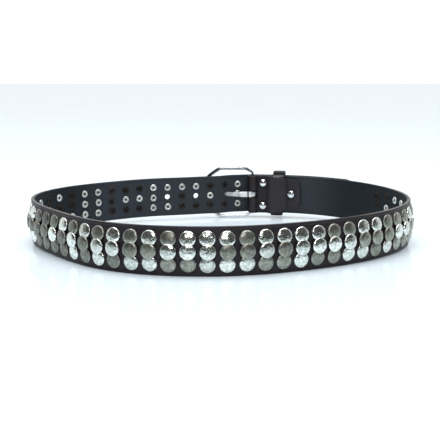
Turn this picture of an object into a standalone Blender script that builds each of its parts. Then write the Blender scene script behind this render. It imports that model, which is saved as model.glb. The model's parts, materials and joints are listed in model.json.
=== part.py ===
"""Studded leather belt, buckled into a loop and standing on its lower edge.

Metres, +Z up. Seen from above, the loop's front is at -Y and shows the studs, and the buckle
is in its back wall, whose inner face looks to the front. A place along the belt is its run:
the length along the strap's middle line from the buckle's heel bar, positive to the left
and then round by the front. The free end is the tongue. It has a negative run, because it
passes the heel bar and lies outside the strap's other end.
"""

import math
from collections import namedtuple

import bmesh
import bpy
import numpy as np
from mathutils import Matrix, Vector

# The strap
STRAP_WIDTH = 0.040
STRAP_THICKNESS = 0.0036
FOLD_THICKNESS = 0.0025
TONGUE_REACH = 0.120
TAB_REACH = 0.0519
TOUCHING_GAP = 0.0003

# The loop's middle line, as a radius at equal bearings from the pole, turning left from +X
LOOP_RADII = (
    ("right end", 0.174),
    ("right end, rear half", 0.158),
    ("plain stretch behind the tab", 0.138),
    ("keeper", 0.119),
    ("prong hole", 0.107),
    ("adjusting holes", 0.103),
    ("rear left, slack", 0.117),
    ("left end, rear half", 0.142),
    ("left end", 0.172),
    ("left end, front half", 0.167),
    ("front, left quarter", 0.160),
    ("front, left of the middle", 0.156),
    ("front, middle", 0.150),
    ("front, right of the middle", 0.147),
    ("front, right quarter", 0.154),
    ("right end, front half", 0.170),
)
POLE = Vector((-0.00074, 0.01847, 0.0))
LOOP_SAMPLES = 5760
HEEL_BAR_FROM_RIGHT_END = 0.1934

# The lower edge rests on the ground in front and rises to the buckle, which stands on its rail
BUCKLE_LIFT = 0.0054
RISE_STARTS_Y = -0.120
RISE_ENDS_Y = 0.1104

# Studs: three rows, with the middle row seated on the edges of the other two
STUD_COLUMNS = 52
STUD_PITCH = 0.01538
FIRST_COLUMN_RUN = 0.0162
ROW_SPACING = 0.0104
STUD_RADIUS = 0.0065
STUD_CROWN_RADIUS = 0.0042
STUD_SIDES = 10
STUD_ROOT = 0.0003
OUTER_ROW_RIM = 0.0009
OUTER_ROW_TOP = 0.0023
MIDDLE_ROW_RIM = 0.0031
MIDDLE_ROW_TOP = 0.0046

# Holes of the middle row, every second column, with the prong in the one that is worn long
HOLE_COLUMNS = (-3, -1, 1, 3, 5)
PRONG_COLUMN = 1
HOLE_RADIUS = 0.00275
WORN_HOLE_LENGTH = 0.0078
WORN_HOLE_SHIFT = 0.0031
WORN_HOLE_CORNER = 0.0012
CORNER_STEPS = 4
HOLE_SIDES = 12
TONGUE_PUNCH_OVER = 0.0015

# How far the strap lies outside its middle line at the edges of the first columns, where it
# goes in through the buckle's frame
CROSSING = (
    ("beside the fold", -0.5, 0.0038),
    ("before the prong's hole", 0.5, 0.0017),
    ("inside the frame", 1.5, -0.0022),
    ("under the frame's rail", 2.5, -0.0004),
)

# The buckle's frame: one rail, rounded at its far end, straight and thinner at the heel bar
FRAME_HEIGHT = 0.0550
FRAME_RAIL = 0.0034
FRAME_THICKNESS = 0.0032
FRAME_CHAMFER = 0.0007
FRAME_TURN_DEG = 2.0
END_STEPS = 3
FRAME_HEEL_CORNER = (
    # x from the heel bar, height from the frame's middle, both to the middle of the rail, and the
    # rail's thickness there as a share of its thickness in the rest of the frame
    (0.0000, 0.0203, 0.65),
    (-0.0003, 0.0211, 0.65),
    (-0.0010, 0.0218, 0.66),
    (-0.0027, 0.0228, 0.70),
    (-0.0052, 0.0243, 0.80),
    (-0.0078, 0.0254, 0.92),
    (-0.0102, 0.0258, 1.00),
)
FRAME_END = (
    # the same, on from the top of the frame to the middle of its far end
    (-0.0322, 0.0258),
    (-0.0350, 0.0253),
    (-0.0403, 0.0222),
    (-0.0475, 0.0166),
    (-0.0525, 0.0101),
    (-0.0550, 0.0047),
    (-0.0556, 0.0000),
)

# The fold round the heel bar
FOLD_INNER_RADIUS = 0.0027
FOLD_STEP_DEG = 30
FOLD_STARTS_RUN = -0.0045
FOLD_STARTS_OFFSET = 0.0012
FOLD_BEND_DEG = (150, 210)
FOLD_BEND_CUT = 0.0010
PRONG_SLOT_HEIGHT = 0.0066
PRONG_SLOT_RADIUS = 0.00535
PRONG_SLOT_END = 0.0050
SLOT_STEPS = 12

# The prong: a flat bar on a ring, cranked where it goes through its hole
PRONG_THICKNESS = 0.0019
PRONG_RING_RADIUS = 0.0025
PRONG_RING_HEIGHT = 0.0049
PRONG_ROOT_WIDTH = 0.0058
PRONG_WIDTH = 0.0045
PRONG_TIP_WIDTH = 0.0026
PRONG_LENGTH = 0.0592
PRONG_RISE_STARTS = 0.0131
PRONG_RISE_ENDS = 0.0401
PRONG_RISE = 0.0064
RISE_STEPS = 9
RING_STEPS = 16

# The keeper: a leather loop round both straps, held under the tab
KEEPER_RUN = -0.0274
KEEPER_WIDTH = 0.0123
KEEPER_THICKNESS = 0.0020
KEEPER_TOP_ROOM = 0.0026
KEEPER_BOTTOM_ROOM = 0.0012
KEEPER_LEAN = 0.050
KEEPER_CORNER = 0.0022
KEEPER_ROOM = 0.0007

# Slotted screws through the tab and the strap behind it
SCREW_PLACES = (
    # name, run, height above the strap's middle
    ("screw_upper", -0.0115, 0.0124),
    ("screw_lower", -0.0115, -0.0121),
    ("screw_end", -0.0424, 0.0010),
)
SCREW_HEAD_RADIUS = 0.0040
SCREW_HEAD_HEIGHT = 0.0022
SCREW_DOME = (
    # shares of the head's radius and height
    (1.00, 0.00),
    (1.00, 0.18),
    (0.88, 0.58),
    (0.58, 0.88),
    (0.00, 1.00),
)
SCREW_POST_RADIUS = 0.0020
SCREW_CAP_RADIUS = 0.0034
SCREW_CAP_THICKNESS = 0.0005
SCREW_ROOM = 0.0006
SCREW_SLOT_WIDTH = 0.0011
SCREW_SLOT_DEPTH = 0.0012
SCREW_STEPS = 12
SCREW_HOLE_CLEARANCE = 0.0004

# Offsets of each layer's middle from the loop's middle line, outwards positive
HALF_STRAP = STRAP_THICKNESS / 2
TAB_OFFSET = -(HALF_STRAP + TOUCHING_GAP + FOLD_THICKNESS / 2)
TONGUE_OFFSET = HALF_STRAP + SCREW_ROOM + SCREW_CAP_THICKNESS + TOUCHING_GAP + HALF_STRAP
KEEPER_INNER_FACE = HALF_STRAP + KEEPER_ROOM
TAB_OVER_KEEPER = -(KEEPER_INNER_FACE + KEEPER_THICKNESS + KEEPER_ROOM + FOLD_THICKNESS / 2)
HEEL_BAR_OFFSET = -(HALF_STRAP + TOUCHING_GAP / 2)
FOLD_MIDDLE_RADIUS = FOLD_INNER_RADIUS + FOLD_THICKNESS / 2
MID_HEIGHT = STRAP_WIDTH / 2

# Edges that turn more than this stay sharp on the round pieces
SHARP_FROM_DEG = 40

Place = namedtuple("Place", "point along outward low")
Station = namedtuple("Station", "point low half_height thickness")


def loop_radius(bearings):
    """The smooth closed curve through LOOP_RADII, as the sum of its harmonics."""
    radii = np.array([radius for _, radius in LOOP_RADII])
    harmonics = np.fft.rfft(radii) / len(radii)
    orders = np.arange(len(harmonics))
    weights = np.where((orders == 0) | (orders == len(radii) // 2), 1.0, 2.0)
    turns = np.outer(bearings, orders)
    return (weights * (harmonics.real * np.cos(turns) - harmonics.imag * np.sin(turns))).sum(axis=1)


BEARINGS = np.linspace(0.0, math.tau, LOOP_SAMPLES + 1)
LOOP_X = loop_radius(BEARINGS) * np.cos(BEARINGS)
LOOP_Y = loop_radius(BEARINGS) * np.sin(BEARINGS)
LOOP_ARC = np.concatenate([[0.0], np.cumsum(np.hypot(np.diff(LOOP_X), np.diff(LOOP_Y)))])
LOOP_LENGTH = float(LOOP_ARC[-1])


def loop_point(run):
    arc = (HEEL_BAR_FROM_RIGHT_END + run) % LOOP_LENGTH
    return Vector((float(np.interp(arc, LOOP_ARC, LOOP_X)), float(np.interp(arc, LOOP_ARC, LOOP_Y))))


def loop_place(run):
    """The middle line's point, its direction, its outward normal and the lower edge's height there."""
    step = 0.0001
    point = loop_point(run)
    along = (loop_point(run + step) - loop_point(run - step)).normalized()
    rise = (point.y - RISE_STARTS_Y) / (RISE_ENDS_Y - RISE_STARTS_Y)
    return Place(point, along, Vector((along.y, -along.x)), BUCKLE_LIFT * max(0.0, rise))


def local_axes(run, offset=0.0):
    """A frame on the belt at mid height: X to the right seen from inside, Y outwards, Z up."""
    place = loop_place(run)
    x_axis = (-place.along).to_3d()
    y_axis = place.outward.to_3d()
    axes = Matrix((x_axis, y_axis, Vector((0.0, 0.0, 1.0)))).transposed().to_4x4()
    origin = (place.point + place.outward * offset).to_3d()
    origin.z = place.low + MID_HEIGHT
    return Matrix.Translation(origin) @ axes


def station(run, offset=0.0, half_height=MID_HEIGHT, thickness=STRAP_THICKNESS):
    place = loop_place(run)
    return Station(place.point + place.outward * offset, place.low, half_height, thickness)


def material(name, colour, roughness, metallic):
    made = bpy.data.materials.new(name)
    made.use_nodes = True
    shader = made.node_tree.nodes["Principled BSDF"]
    shader.inputs["Base Color"].default_value = (*colour, 1.0)
    shader.inputs["Roughness"].default_value = roughness
    shader.inputs["Metallic"].default_value = metallic
    return made


def clear_scene():
    for thing in list(bpy.data.objects):
        bpy.data.objects.remove(thing, do_unlink=True)


def new_collection(name):
    made = bpy.data.collections.new(name)
    bpy.context.scene.collection.children.link(made)
    return made


def add_object(name, mesh, collection, parent, finish=None):
    thing = bpy.data.objects.new(name, mesh)
    collection.objects.link(thing)
    thing.parent = parent
    if finish:
        mesh.materials.append(finish)
    return thing


def as_helper(thing):
    thing.hide_render = True
    thing.display_type = "WIRE"
    return thing


def mesh_from(name, shape):
    mesh = bpy.data.meshes.new(name)
    shape.to_mesh(mesh)
    shape.free()
    return mesh


def solidify(thing, thickness, group=None):
    wall = thing.modifiers.new("Wall", "SOLIDIFY")
    wall.thickness = thickness
    wall.offset = 0.0
    wall.use_even_offset = True
    if group:
        wall.vertex_group = group
    return wall


def boolean(thing, other, operation):
    cut = thing.modifiers.new(f"{operation.title()} {other.name}", "BOOLEAN")
    cut.operation = operation
    cut.object = other
    return cut


def band(name, stations, thickest, collection, parent, finish):
    """An upright strip of faces through the stations, thickened to each station's own wall."""
    corners = []
    for stop in stations:
        middle = stop.low + MID_HEIGHT
        corners.append((*stop.point, middle - stop.half_height))
        corners.append((*stop.point, middle + stop.half_height))
    faces = [(2 * i, 2 * i + 2, 2 * i + 3, 2 * i + 1) for i in range(len(stations) - 1)]
    mesh = bpy.data.meshes.new(name)
    mesh.from_pydata(corners, [], faces)
    thing = add_object(name, mesh, collection, parent, finish)
    walls = thing.vertex_groups.new(name="wall")
    for i, stop in enumerate(stations):
        walls.add([2 * i, 2 * i + 1], stop.thickness / thickest, "REPLACE")
    solidify(thing, thickest, "wall")
    return thing


def column_run(column):
    return FIRST_COLUMN_RUN + column * STUD_PITCH


def edge_offset(column_edge):
    """The strap's offset at the edge between two columns, such as 0.5 between columns 0 and 1."""
    return next((offset for _, edge, offset in CROSSING if edge == column_edge), 0.0)


def tongue_stations():
    """From the tip, outside the other end of the strap, to the first column of studs."""
    outline = (
        # run from the tip, half height
        (0.000, 0.005),
        (0.002, 0.009),
        (0.006, 0.014),
        (0.012, 0.0178),
        (0.020, 0.020),
        (0.032, 0.020),
        (0.045, 0.020),
        (0.058, 0.020),
    )
    stops = [station(from_tip - TONGUE_REACH, TONGUE_OFFSET, half) for from_tip, half in outline]
    over_the_buckle = (
        # run, offset
        (-TAB_REACH, TONGUE_OFFSET),
        (-0.0455, TONGUE_OFFSET),
        (-0.0372, TONGUE_OFFSET),
        (-0.0274, TONGUE_OFFSET),
        (-0.0162, TONGUE_OFFSET),
        (-0.0090, 0.0051),
        (-0.0040, 0.0054),
        (0.0000, 0.0055),
        (0.0038, 0.0049),
    )
    through_the_frame = [(column_run(edge), offset) for _, edge, offset in CROSSING]
    return stops + [station(run, offset) for run, offset in over_the_buckle + tuple(through_the_frame)]


def loop_stations():
    """One flat facet for each column of studs, then the plain stretch back to the buckle."""
    stops = [station(column_run(column + 0.5)) for column in range(3, STUD_COLUMNS)]
    plain = (-0.127, -0.116, -0.105, -0.094, -0.083, -0.073, -0.063, -TAB_REACH, -0.0455)
    near_buckle = (-0.0372, -0.0350, -0.0274, -0.0194, -0.0162, -0.0115, -0.0070)
    return stops + [station(run) for run in plain + near_buckle]


def fold_stations():
    """Round the heel bar, from the strap's outer side to its inner side, clear of the frame's corner."""
    bar = local_axes(0.0, HEEL_BAR_OFFSET)
    low = loop_place(0.0).low
    skived = (STRAP_THICKNESS + FOLD_THICKNESS) / 2
    stops = [station(FOLD_STARTS_RUN, FOLD_STARTS_OFFSET, thickness=skived)]
    for degrees in range(90, 271, FOLD_STEP_DEG):
        angle = math.radians(degrees)
        spot = Vector((math.cos(angle), math.sin(angle), 0.0)) * FOLD_MIDDLE_RADIUS
        in_bend = FOLD_BEND_DEG[0] <= degrees <= FOLD_BEND_DEG[1]
        half_cut = FOLD_BEND_CUT / 2 if in_bend else 0.0
        stops.append(Station((bar @ spot).to_2d(), low + half_cut, MID_HEIGHT - half_cut, FOLD_THICKNESS))
    return stops


def tab_stations():
    """The folded end inside the strap, raised over the keeper and narrowed to its rounded end."""
    outline = (
        # run, offset, half height, how far it is cut off the strap's middle
        (-0.0042, -0.0049, 0.0200, 0.0000),
        (-0.0070, TAB_OFFSET, 0.0200, 0.0000),
        (-0.0115, TAB_OFFSET, 0.0200, 0.0000),
        (-0.0162, TAB_OFFSET, 0.0200, 0.0000),
        (-0.0171, -0.0044, 0.0200, 0.0000),
        (-0.0181, -0.0056, 0.0200, 0.0000),
        (-0.0190, TAB_OVER_KEEPER, 0.0200, 0.0000),
        (-0.0274, TAB_OVER_KEEPER, 0.0198, 0.0001),
        (-0.0355, TAB_OVER_KEEPER, 0.0170, 0.0009),
        (-0.0364, -0.0048, 0.0168, 0.0010),
        (-0.0374, TAB_OFFSET, 0.0166, 0.0010),
        (-0.0455, TAB_OFFSET, 0.0153, 0.0010),
        (-0.0490, TAB_OFFSET, 0.0144, 0.0010),
        (-0.0508, TAB_OFFSET, 0.0129, 0.0010),
        (-0.0516, TAB_OFFSET, 0.0111, 0.0010),
        (-TAB_REACH, TAB_OFFSET, 0.0092, 0.0010),
    )
    stops = []
    for run, offset, half, raised in outline:
        stop = station(run, offset, half, FOLD_THICKNESS)
        stops.append(stop._replace(low=stop.low + raised))
    return stops


def facet_axes(column):
    """The frame of a column's flat facet: X against the run, Y outwards, Z up the strap."""
    start = station(column_run(column - 0.5), edge_offset(column - 0.5))
    end = station(column_run(column + 0.5), edge_offset(column + 0.5))
    begin = Vector((*start.point, start.low + MID_HEIGHT))
    finish = Vector((*end.point, end.low + MID_HEIGHT))
    x_axis = (begin - finish).normalized()
    y_axis = Vector((0.0, 0.0, 1.0)).cross(x_axis).normalized()
    axes = Matrix((x_axis, y_axis, x_axis.cross(y_axis))).transposed().to_4x4()
    return Matrix.Translation((begin + finish) / 2) @ axes


def add_stud(shape, axes, height, rim, top):
    """A round cap on the facet's outer face: a short wall and a crown that slopes in."""
    wall = rim + STUD_ROOT
    outwards = Matrix.Rotation(-math.pi / 2, 4, "X")
    centre = Matrix.Translation((0.0, HALF_STRAP + rim - wall / 2, height))
    made = bmesh.ops.create_cone(
        shape,
        cap_ends=True,
        segments=STUD_SIDES,
        radius1=STUD_RADIUS,
        radius2=STUD_RADIUS,
        depth=wall,
        matrix=axes @ centre @ outwards,
    )
    outward = axes.to_3x3() @ Vector((0.0, 1.0, 0.0))
    caps = {face for corner in made["verts"] for face in corner.link_faces if len(face.verts) == STUD_SIDES}
    crown = max(caps, key=lambda face: face.calc_center_median().dot(outward))
    inset = STUD_RADIUS - STUD_CROWN_RADIUS
    bmesh.ops.inset_region(shape, faces=[crown], thickness=inset, depth=top - rim)


def stud_field(collection, parent, finish):
    """All the caps, to be joined to the strap. The middle row skips the adjusting holes."""
    shape = bmesh.new()
    for column in range(STUD_COLUMNS):
        axes = facet_axes(column)
        add_stud(shape, axes, ROW_SPACING, OUTER_ROW_RIM, OUTER_ROW_TOP)
        add_stud(shape, axes, -ROW_SPACING, OUTER_ROW_RIM, OUTER_ROW_TOP)
        if column not in HOLE_COLUMNS:
            add_stud(shape, axes, 0.0, MIDDLE_ROW_RIM, MIDDLE_ROW_TOP)
    bmesh.ops.recalc_face_normals(shape, faces=shape.faces[:])
    return as_helper(add_object("stud_field", mesh_from("stud_field", shape), collection, parent, finish))


def add_punch(shape, axes, radius, length):
    """A round cutter along the axes' Y."""
    bmesh.ops.create_cone(
        shape,
        cap_ends=True,
        segments=HOLE_SIDES,
        radius1=radius,
        radius2=radius,
        depth=length,
        matrix=axes @ Matrix.Rotation(-math.pi / 2, 4, "X"),
    )


def rounded_rectangle(left, right, bottom, top, radius, steps):
    """A closed outline, turning left from its upper right corner."""
    outline = []
    corners = (
        # x, y, side in x, side in y, where its arc starts in degrees
        (right, top, 1, 1, 0),
        (left, top, -1, 1, 90),
        (left, bottom, -1, -1, 180),
        (right, bottom, 1, -1, 270),
    )
    for x, y, side_x, side_y, first_deg in corners:
        for i in range(steps + 1):
            angle = math.radians(first_deg + 90 * i / steps)
            across = x - side_x * radius + radius * math.cos(angle)
            outline.append((across, y - side_y * radius + radius * math.sin(angle)))
    return outline


def add_prism(shape, axes, outline, length):
    """A closed outline in the axes' XY plane, drawn out evenly to both sides of it."""
    corners = [shape.verts.new(axes @ Vector((x, y, -length / 2))) for x, y in outline]
    made = bmesh.ops.extrude_face_region(shape, geom=[shape.faces.new(corners)])
    lifted = [item for item in made["geom"] if isinstance(item, bmesh.types.BMVert)]
    bmesh.ops.translate(shape, verts=lifted, vec=axes.to_3x3() @ Vector((0.0, 0.0, length)))


def add_fold_slot(shape):
    """The prong's slot through the fold: round on the left, straight on the right."""
    outline = [(PRONG_SLOT_END, -PRONG_SLOT_RADIUS), (PRONG_SLOT_END, PRONG_SLOT_RADIUS)]
    for i in range(SLOT_STEPS + 1):
        angle = math.pi / 2 + math.pi * i / SLOT_STEPS
        outline.append((PRONG_SLOT_RADIUS * math.cos(angle), PRONG_SLOT_RADIUS * math.sin(angle)))
    add_prism(shape, local_axes(0.0, HEEL_BAR_OFFSET), outline, PRONG_SLOT_HEIGHT)


def add_worn_hole(shape, axes, reach):
    """The prong's hole, worn long towards the buckle."""
    half = WORN_HOLE_LENGTH / 2
    outline = rounded_rectangle(-half, half, -HOLE_RADIUS, HOLE_RADIUS, WORN_HOLE_CORNER, CORNER_STEPS)
    turned = Matrix.Translation((WORN_HOLE_SHIFT, 0.0, 0.0)) @ Matrix.Rotation(math.pi / 2, 4, "X")
    add_prism(shape, axes @ turned, outline, reach)


def hole_punches(collection, parent):
    """Cutters for the adjusting holes, the screw posts and the prong's slot in the fold."""
    shape = bmesh.new()
    through = 2 * STRAP_THICKNESS
    for column in HOLE_COLUMNS:
        if column < 0:
            axes = local_axes(column_run(column), TONGUE_OFFSET)
            reach = STRAP_THICKNESS + TONGUE_PUNCH_OVER
        else:
            axes = facet_axes(column)
            reach = through
        if column == PRONG_COLUMN:
            add_worn_hole(shape, axes, reach)
        else:
            add_punch(shape, axes, HOLE_RADIUS, reach)
    for _, run, height in SCREW_PLACES:
        inner = TAB_OFFSET - FOLD_THICKNESS
        outer = HALF_STRAP + TOUCHING_GAP
        axes = local_axes(run, (inner + outer) / 2) @ Matrix.Translation((0.0, 0.0, height))
        add_punch(shape, axes, SCREW_POST_RADIUS + SCREW_HOLE_CLEARANCE, outer - inner)
    add_fold_slot(shape)
    bmesh.ops.recalc_face_normals(shape, faces=shape.faces[:])
    return as_helper(add_object("hole_punches", mesh_from("hole_punches", shape), collection, parent))


def build_strap(parts, cutters, parent, leather, metal):
    stations = tongue_stations() + loop_stations() + fold_stations() + tab_stations()
    strap = band("strap", stations, STRAP_THICKNESS, parts, parent, leather)
    join = boolean(strap, stud_field(cutters, parent, metal), "UNION")
    join.use_self = True
    join.material_mode = "TRANSFER"
    cut = boolean(strap, hole_punches(cutters, parent), "DIFFERENCE")
    cut.use_self = True
    return strap


def smooth_through(points, steps):
    """Catmull-Rom points through the given ones, with level ends."""
    ends = [(2 * points[0][0] - points[1][0], points[0][1])] + list(points)
    ends.append((points[-1][0], -points[-2][1]))
    found = []
    for before, first, second, after in zip(ends, ends[1:], ends[2:], ends[3:]):
        for i in range(steps):
            t = i / steps
            weights = (
                -t * (1 - t) ** 2 / 2,
                (2 - 5 * t**2 + 3 * t**3) / 2,
                t * (1 + 4 * t - 3 * t**2) / 2,
                -(1 - t) * t**2 / 2,
            )
            four = (before, first, second, after)
            found.append(tuple(sum(w * point[axis] for w, point in zip(weights, four)) for axis in range(2)))
    return found + [points[-1]]


def rail_middle():
    """The rail's middle and thickness, closed: over the top, down the far end and back below."""
    far_end = [(x, z, 1.0) for x, z in smooth_through(FRAME_END, END_STEPS)]
    upper = list(FRAME_HEEL_CORNER) + far_end
    lower = [(x, -z, share) for x, z, share in reversed(upper[:-1])]
    return upper + lower


def closed_curve(name, outline):
    """A closed line through points of x, y and the share of the section's size there."""
    curve = bpy.data.curves.new(name, "CURVE")
    curve.dimensions = "2D"
    curve.fill_mode = "NONE"
    spline = curve.splines.new("POLY")
    spline.points.add(len(outline) - 1)
    for point, (x, y, share) in zip(spline.points, outline):
        point.co = (x, y, 0.0, 1.0)
        point.radius = share
    spline.use_cyclic_u = True
    return curve


def build_frame(parts, cutters, parent, steel):
    """A section with chamfered edges along the rail's middle line, standing on the ground."""
    half_rail = FRAME_RAIL / 2
    half_plate = FRAME_THICKNESS / 2
    section = []
    for side_x, side_y in ((1, 1), (1, -1), (-1, -1), (-1, 1)):
        near_x = (side_x * (half_rail - FRAME_CHAMFER), side_y * half_plate, 1.0)
        near_y = (side_x * half_rail, side_y * (half_plate - FRAME_CHAMFER), 1.0)
        section += [near_x, near_y] if side_x == side_y else [near_y, near_x]
    profile = as_helper(add_object("rail_section", closed_curve("rail_section", section), cutters, parent))
    frame = add_object("buckle_frame", closed_curve("buckle_frame", rail_middle()), parts, parent, steel)
    frame.data.bevel_mode = "OBJECT"
    frame.data.bevel_object = profile
    bar = buckle_axes()
    bar.translation.z = FRAME_HEIGHT / 2
    frame.matrix_local = bar @ Matrix.Rotation(math.pi / 2, 4, "X")
    return frame


def buckle_axes():
    """The heel bar's axes, turned so that the frame's rounded end lies close over the studs."""
    return local_axes(0.0, HEEL_BAR_OFFSET) @ Matrix.Rotation(math.radians(FRAME_TURN_DEG), 4, "Z")


def smooth_step(t):
    t = min(max(t, 0.0), 1.0)
    return t * t * (3 - 2 * t)


def build_prong(parts, cutters, parent, steel):
    """A flat bar from its ring on the heel bar, out through its hole and on to the frame's far end."""
    ring_middle = PRONG_RING_RADIUS + PRONG_THICKNESS / 2
    rise_length = PRONG_RISE_ENDS - PRONG_RISE_STARTS
    reaches = [0.0] + [PRONG_RISE_STARTS + rise_length * i / RISE_STEPS for i in range(RISE_STEPS + 1)]
    stops = []
    for reach in reaches + [PRONG_LENGTH - PRONG_THICKNESS, PRONG_LENGTH]:
        rise = PRONG_RISE * smooth_step((reach - PRONG_RISE_STARTS) / rise_length)
        width = {0.0: PRONG_ROOT_WIDTH, PRONG_LENGTH: PRONG_TIP_WIDTH}.get(reach, PRONG_WIDTH)
        stops.append(Station(Vector((-reach, rise - ring_middle)), -MID_HEIGHT, width / 2, PRONG_THICKNESS))
    prong = band("prong", stops, PRONG_THICKNESS, parts, parent, steel)
    prong.matrix_local = buckle_axes()

    outer = PRONG_RING_RADIUS + PRONG_THICKNESS
    top = PRONG_RING_HEIGHT / 2
    section = [(outer, top), (outer, -top), (PRONG_RING_RADIUS, -top), (PRONG_RING_RADIUS, top)]
    ring = bpy.data.meshes.new("prong_ring")
    corners = [(x, 0.0, z) for x, z in section]
    ring.from_pydata(corners, [(0, 1), (1, 2), (2, 3), (3, 0)], [])
    ring_object = as_helper(add_object("prong_ring", ring, cutters, parent))
    ring_object.matrix_local = buckle_axes()
    turn = ring_object.modifiers.new("Turn", "SCREW")
    turn.steps = RING_STEPS
    turn.render_steps = RING_STEPS
    turn.use_merge_vertices = True
    turn.merge_threshold = 0.00001
    boolean(prong, ring_object, "UNION")
    return prong


def build_keeper(parts, parent, leather):
    """An upright rounded loop of leather, leaning a little, round the strap and the tongue."""
    inner = -(KEEPER_INNER_FACE + KEEPER_THICKNESS / 2)
    outer = TONGUE_OFFSET + HALF_STRAP + KEEPER_ROOM + KEEPER_THICKNESS / 2
    top = MID_HEIGHT + KEEPER_TOP_ROOM + KEEPER_THICKNESS / 2
    bottom = -(MID_HEIGHT + KEEPER_BOTTOM_ROOM + KEEPER_THICKNESS / 2)
    ring = rounded_rectangle(inner, outer, bottom, top, KEEPER_CORNER, CORNER_STEPS)
    half = KEEPER_WIDTH / 2
    points = []
    for y, z in ring:
        lean = z * KEEPER_LEAN
        points.append((lean - half, y, z))
        points.append((lean + half, y, z))
    count = len(ring)
    faces = [(2 * i, 2 * i + 1, (2 * i + 3) % (2 * count), (2 * i + 2) % (2 * count)) for i in range(count)]
    mesh = bpy.data.meshes.new("keeper")
    mesh.from_pydata(points, [], faces)
    keeper = add_object("keeper", mesh, parts, parent, leather)
    keeper.matrix_local = local_axes(KEEPER_RUN)
    solidify(keeper, KEEPER_THICKNESS)
    return keeper


def build_screw(name, run, height, parts, cutters, parent, steel):
    """A domed slotted head on the tab, a post through both layers and a thin flat cap outside."""
    tab_face = TAB_OFFSET - FOLD_THICKNESS / 2 - SCREW_ROOM
    cap_face = HALF_STRAP + SCREW_ROOM
    dome = [(SCREW_HEAD_RADIUS * out, SCREW_HEAD_HEIGHT * up) for out, up in SCREW_DOME]
    post = tab_face - cap_face
    profile = dome[::-1] + [
        (SCREW_POST_RADIUS, 0.0),
        (SCREW_POST_RADIUS, post),
        (SCREW_CAP_RADIUS, post),
        (SCREW_CAP_RADIUS, post - SCREW_CAP_THICKNESS),
        (0.0, post - SCREW_CAP_THICKNESS),
    ]
    mesh = bpy.data.meshes.new(name)
    edges = [(i, i + 1) for i in range(len(profile) - 1)]
    mesh.from_pydata([(radius, 0.0, rise) for radius, rise in profile], edges, [])
    screw = add_object(name, mesh, parts, parent, steel)
    place = local_axes(run) @ Matrix.Translation((0.0, tab_face, height))
    screw.matrix_local = place @ Matrix.Rotation(math.pi / 2, 4, "X")
    turn = screw.modifiers.new("Turn", "SCREW")
    turn.steps = SCREW_STEPS
    turn.render_steps = SCREW_STEPS
    turn.use_merge_vertices = True
    turn.merge_threshold = 0.00001

    slot = bmesh.new()
    size = Matrix.Diagonal((4 * SCREW_HEAD_RADIUS, SCREW_SLOT_WIDTH, 2 * SCREW_SLOT_DEPTH, 1.0))
    bmesh.ops.create_cube(slot, size=1.0, matrix=Matrix.Translation((0.0, 0.0, SCREW_HEAD_HEIGHT)) @ size)
    cutter = as_helper(add_object(f"{name}_slot", mesh_from(f"{name}_slot", slot), cutters, parent))
    cutter.matrix_local = screw.matrix_local
    boolean(screw, cutter, "DIFFERENCE")
    return screw


def shade_round_pieces(things):
    for thing in things:
        thing.data.shade_smooth()
        thing.data.set_sharp_from_angle(angle=math.radians(SHARP_FROM_DEG))


def main():
    clear_scene()
    parts = new_collection("studded_belt")
    cutters = new_collection("cutters")
    belt = bpy.data.objects.new("belt", None)
    parts.objects.link(belt)
    belt.location = POLE

    leather = material("dark brown leather", (0.030, 0.022, 0.022), 0.45, 0.0)
    metal = material("polished stud metal", (0.78, 0.78, 0.76), 0.18, 1.0)
    steel = material("polished steel", (0.80, 0.81, 0.82), 0.12, 1.0)

    strap = build_strap(parts, cutters, belt, leather, metal)
    build_frame(parts, cutters, belt, steel)
    prong = build_prong(parts, cutters, belt, steel)
    keeper = build_keeper(parts, belt, leather)
    screws = [build_screw(*place, parts, cutters, belt, steel) for place in SCREW_PLACES]
    shade_round_pieces([strap, prong, keeper] + screws)


main()
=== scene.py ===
"""Looks for a studded leather belt, buckled into a loop and standing on its lower edge.

Metres, +Z up, in the frame of the belt's solids. A place along the belt is its run: the length
along the strap's middle line from the buckle's heel bar, positive to the left and then round by
the front. The free end is the tongue, which has a negative run.
"""

import json
import math

import bmesh
import bpy
import numpy as np
from mathutils import Matrix, Vector

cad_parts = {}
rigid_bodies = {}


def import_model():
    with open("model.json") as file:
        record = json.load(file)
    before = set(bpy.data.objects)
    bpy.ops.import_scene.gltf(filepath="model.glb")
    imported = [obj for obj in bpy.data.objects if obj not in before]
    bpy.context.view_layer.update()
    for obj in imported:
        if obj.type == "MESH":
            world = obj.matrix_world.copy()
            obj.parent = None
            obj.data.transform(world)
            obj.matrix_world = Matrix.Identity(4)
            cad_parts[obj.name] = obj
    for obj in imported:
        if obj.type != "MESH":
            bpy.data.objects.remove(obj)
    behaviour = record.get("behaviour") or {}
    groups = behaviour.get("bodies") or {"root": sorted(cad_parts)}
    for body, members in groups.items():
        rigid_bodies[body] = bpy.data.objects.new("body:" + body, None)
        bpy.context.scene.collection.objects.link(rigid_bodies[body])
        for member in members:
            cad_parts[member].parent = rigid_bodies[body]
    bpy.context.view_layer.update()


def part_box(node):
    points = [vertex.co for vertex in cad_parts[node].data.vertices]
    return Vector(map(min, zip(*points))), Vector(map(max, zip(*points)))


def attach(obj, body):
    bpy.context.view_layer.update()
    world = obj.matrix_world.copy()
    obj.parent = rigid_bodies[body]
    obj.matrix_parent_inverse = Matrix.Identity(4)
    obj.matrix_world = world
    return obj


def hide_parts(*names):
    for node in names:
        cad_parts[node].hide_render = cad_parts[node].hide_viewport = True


for left_over in list(bpy.data.objects):
    bpy.data.objects.remove(left_over, do_unlink=True)
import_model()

bl_info = {
    "name": "Studded belt",
    "version": (1, 0, 0),
    "blender": (4, 5, 0),
    "location": "View3D > Sidebar > Belt",
    "description": "Leather, studs, buckle and stage of a studded belt, built around its solids",
    "category": "Add Mesh",
}

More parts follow.
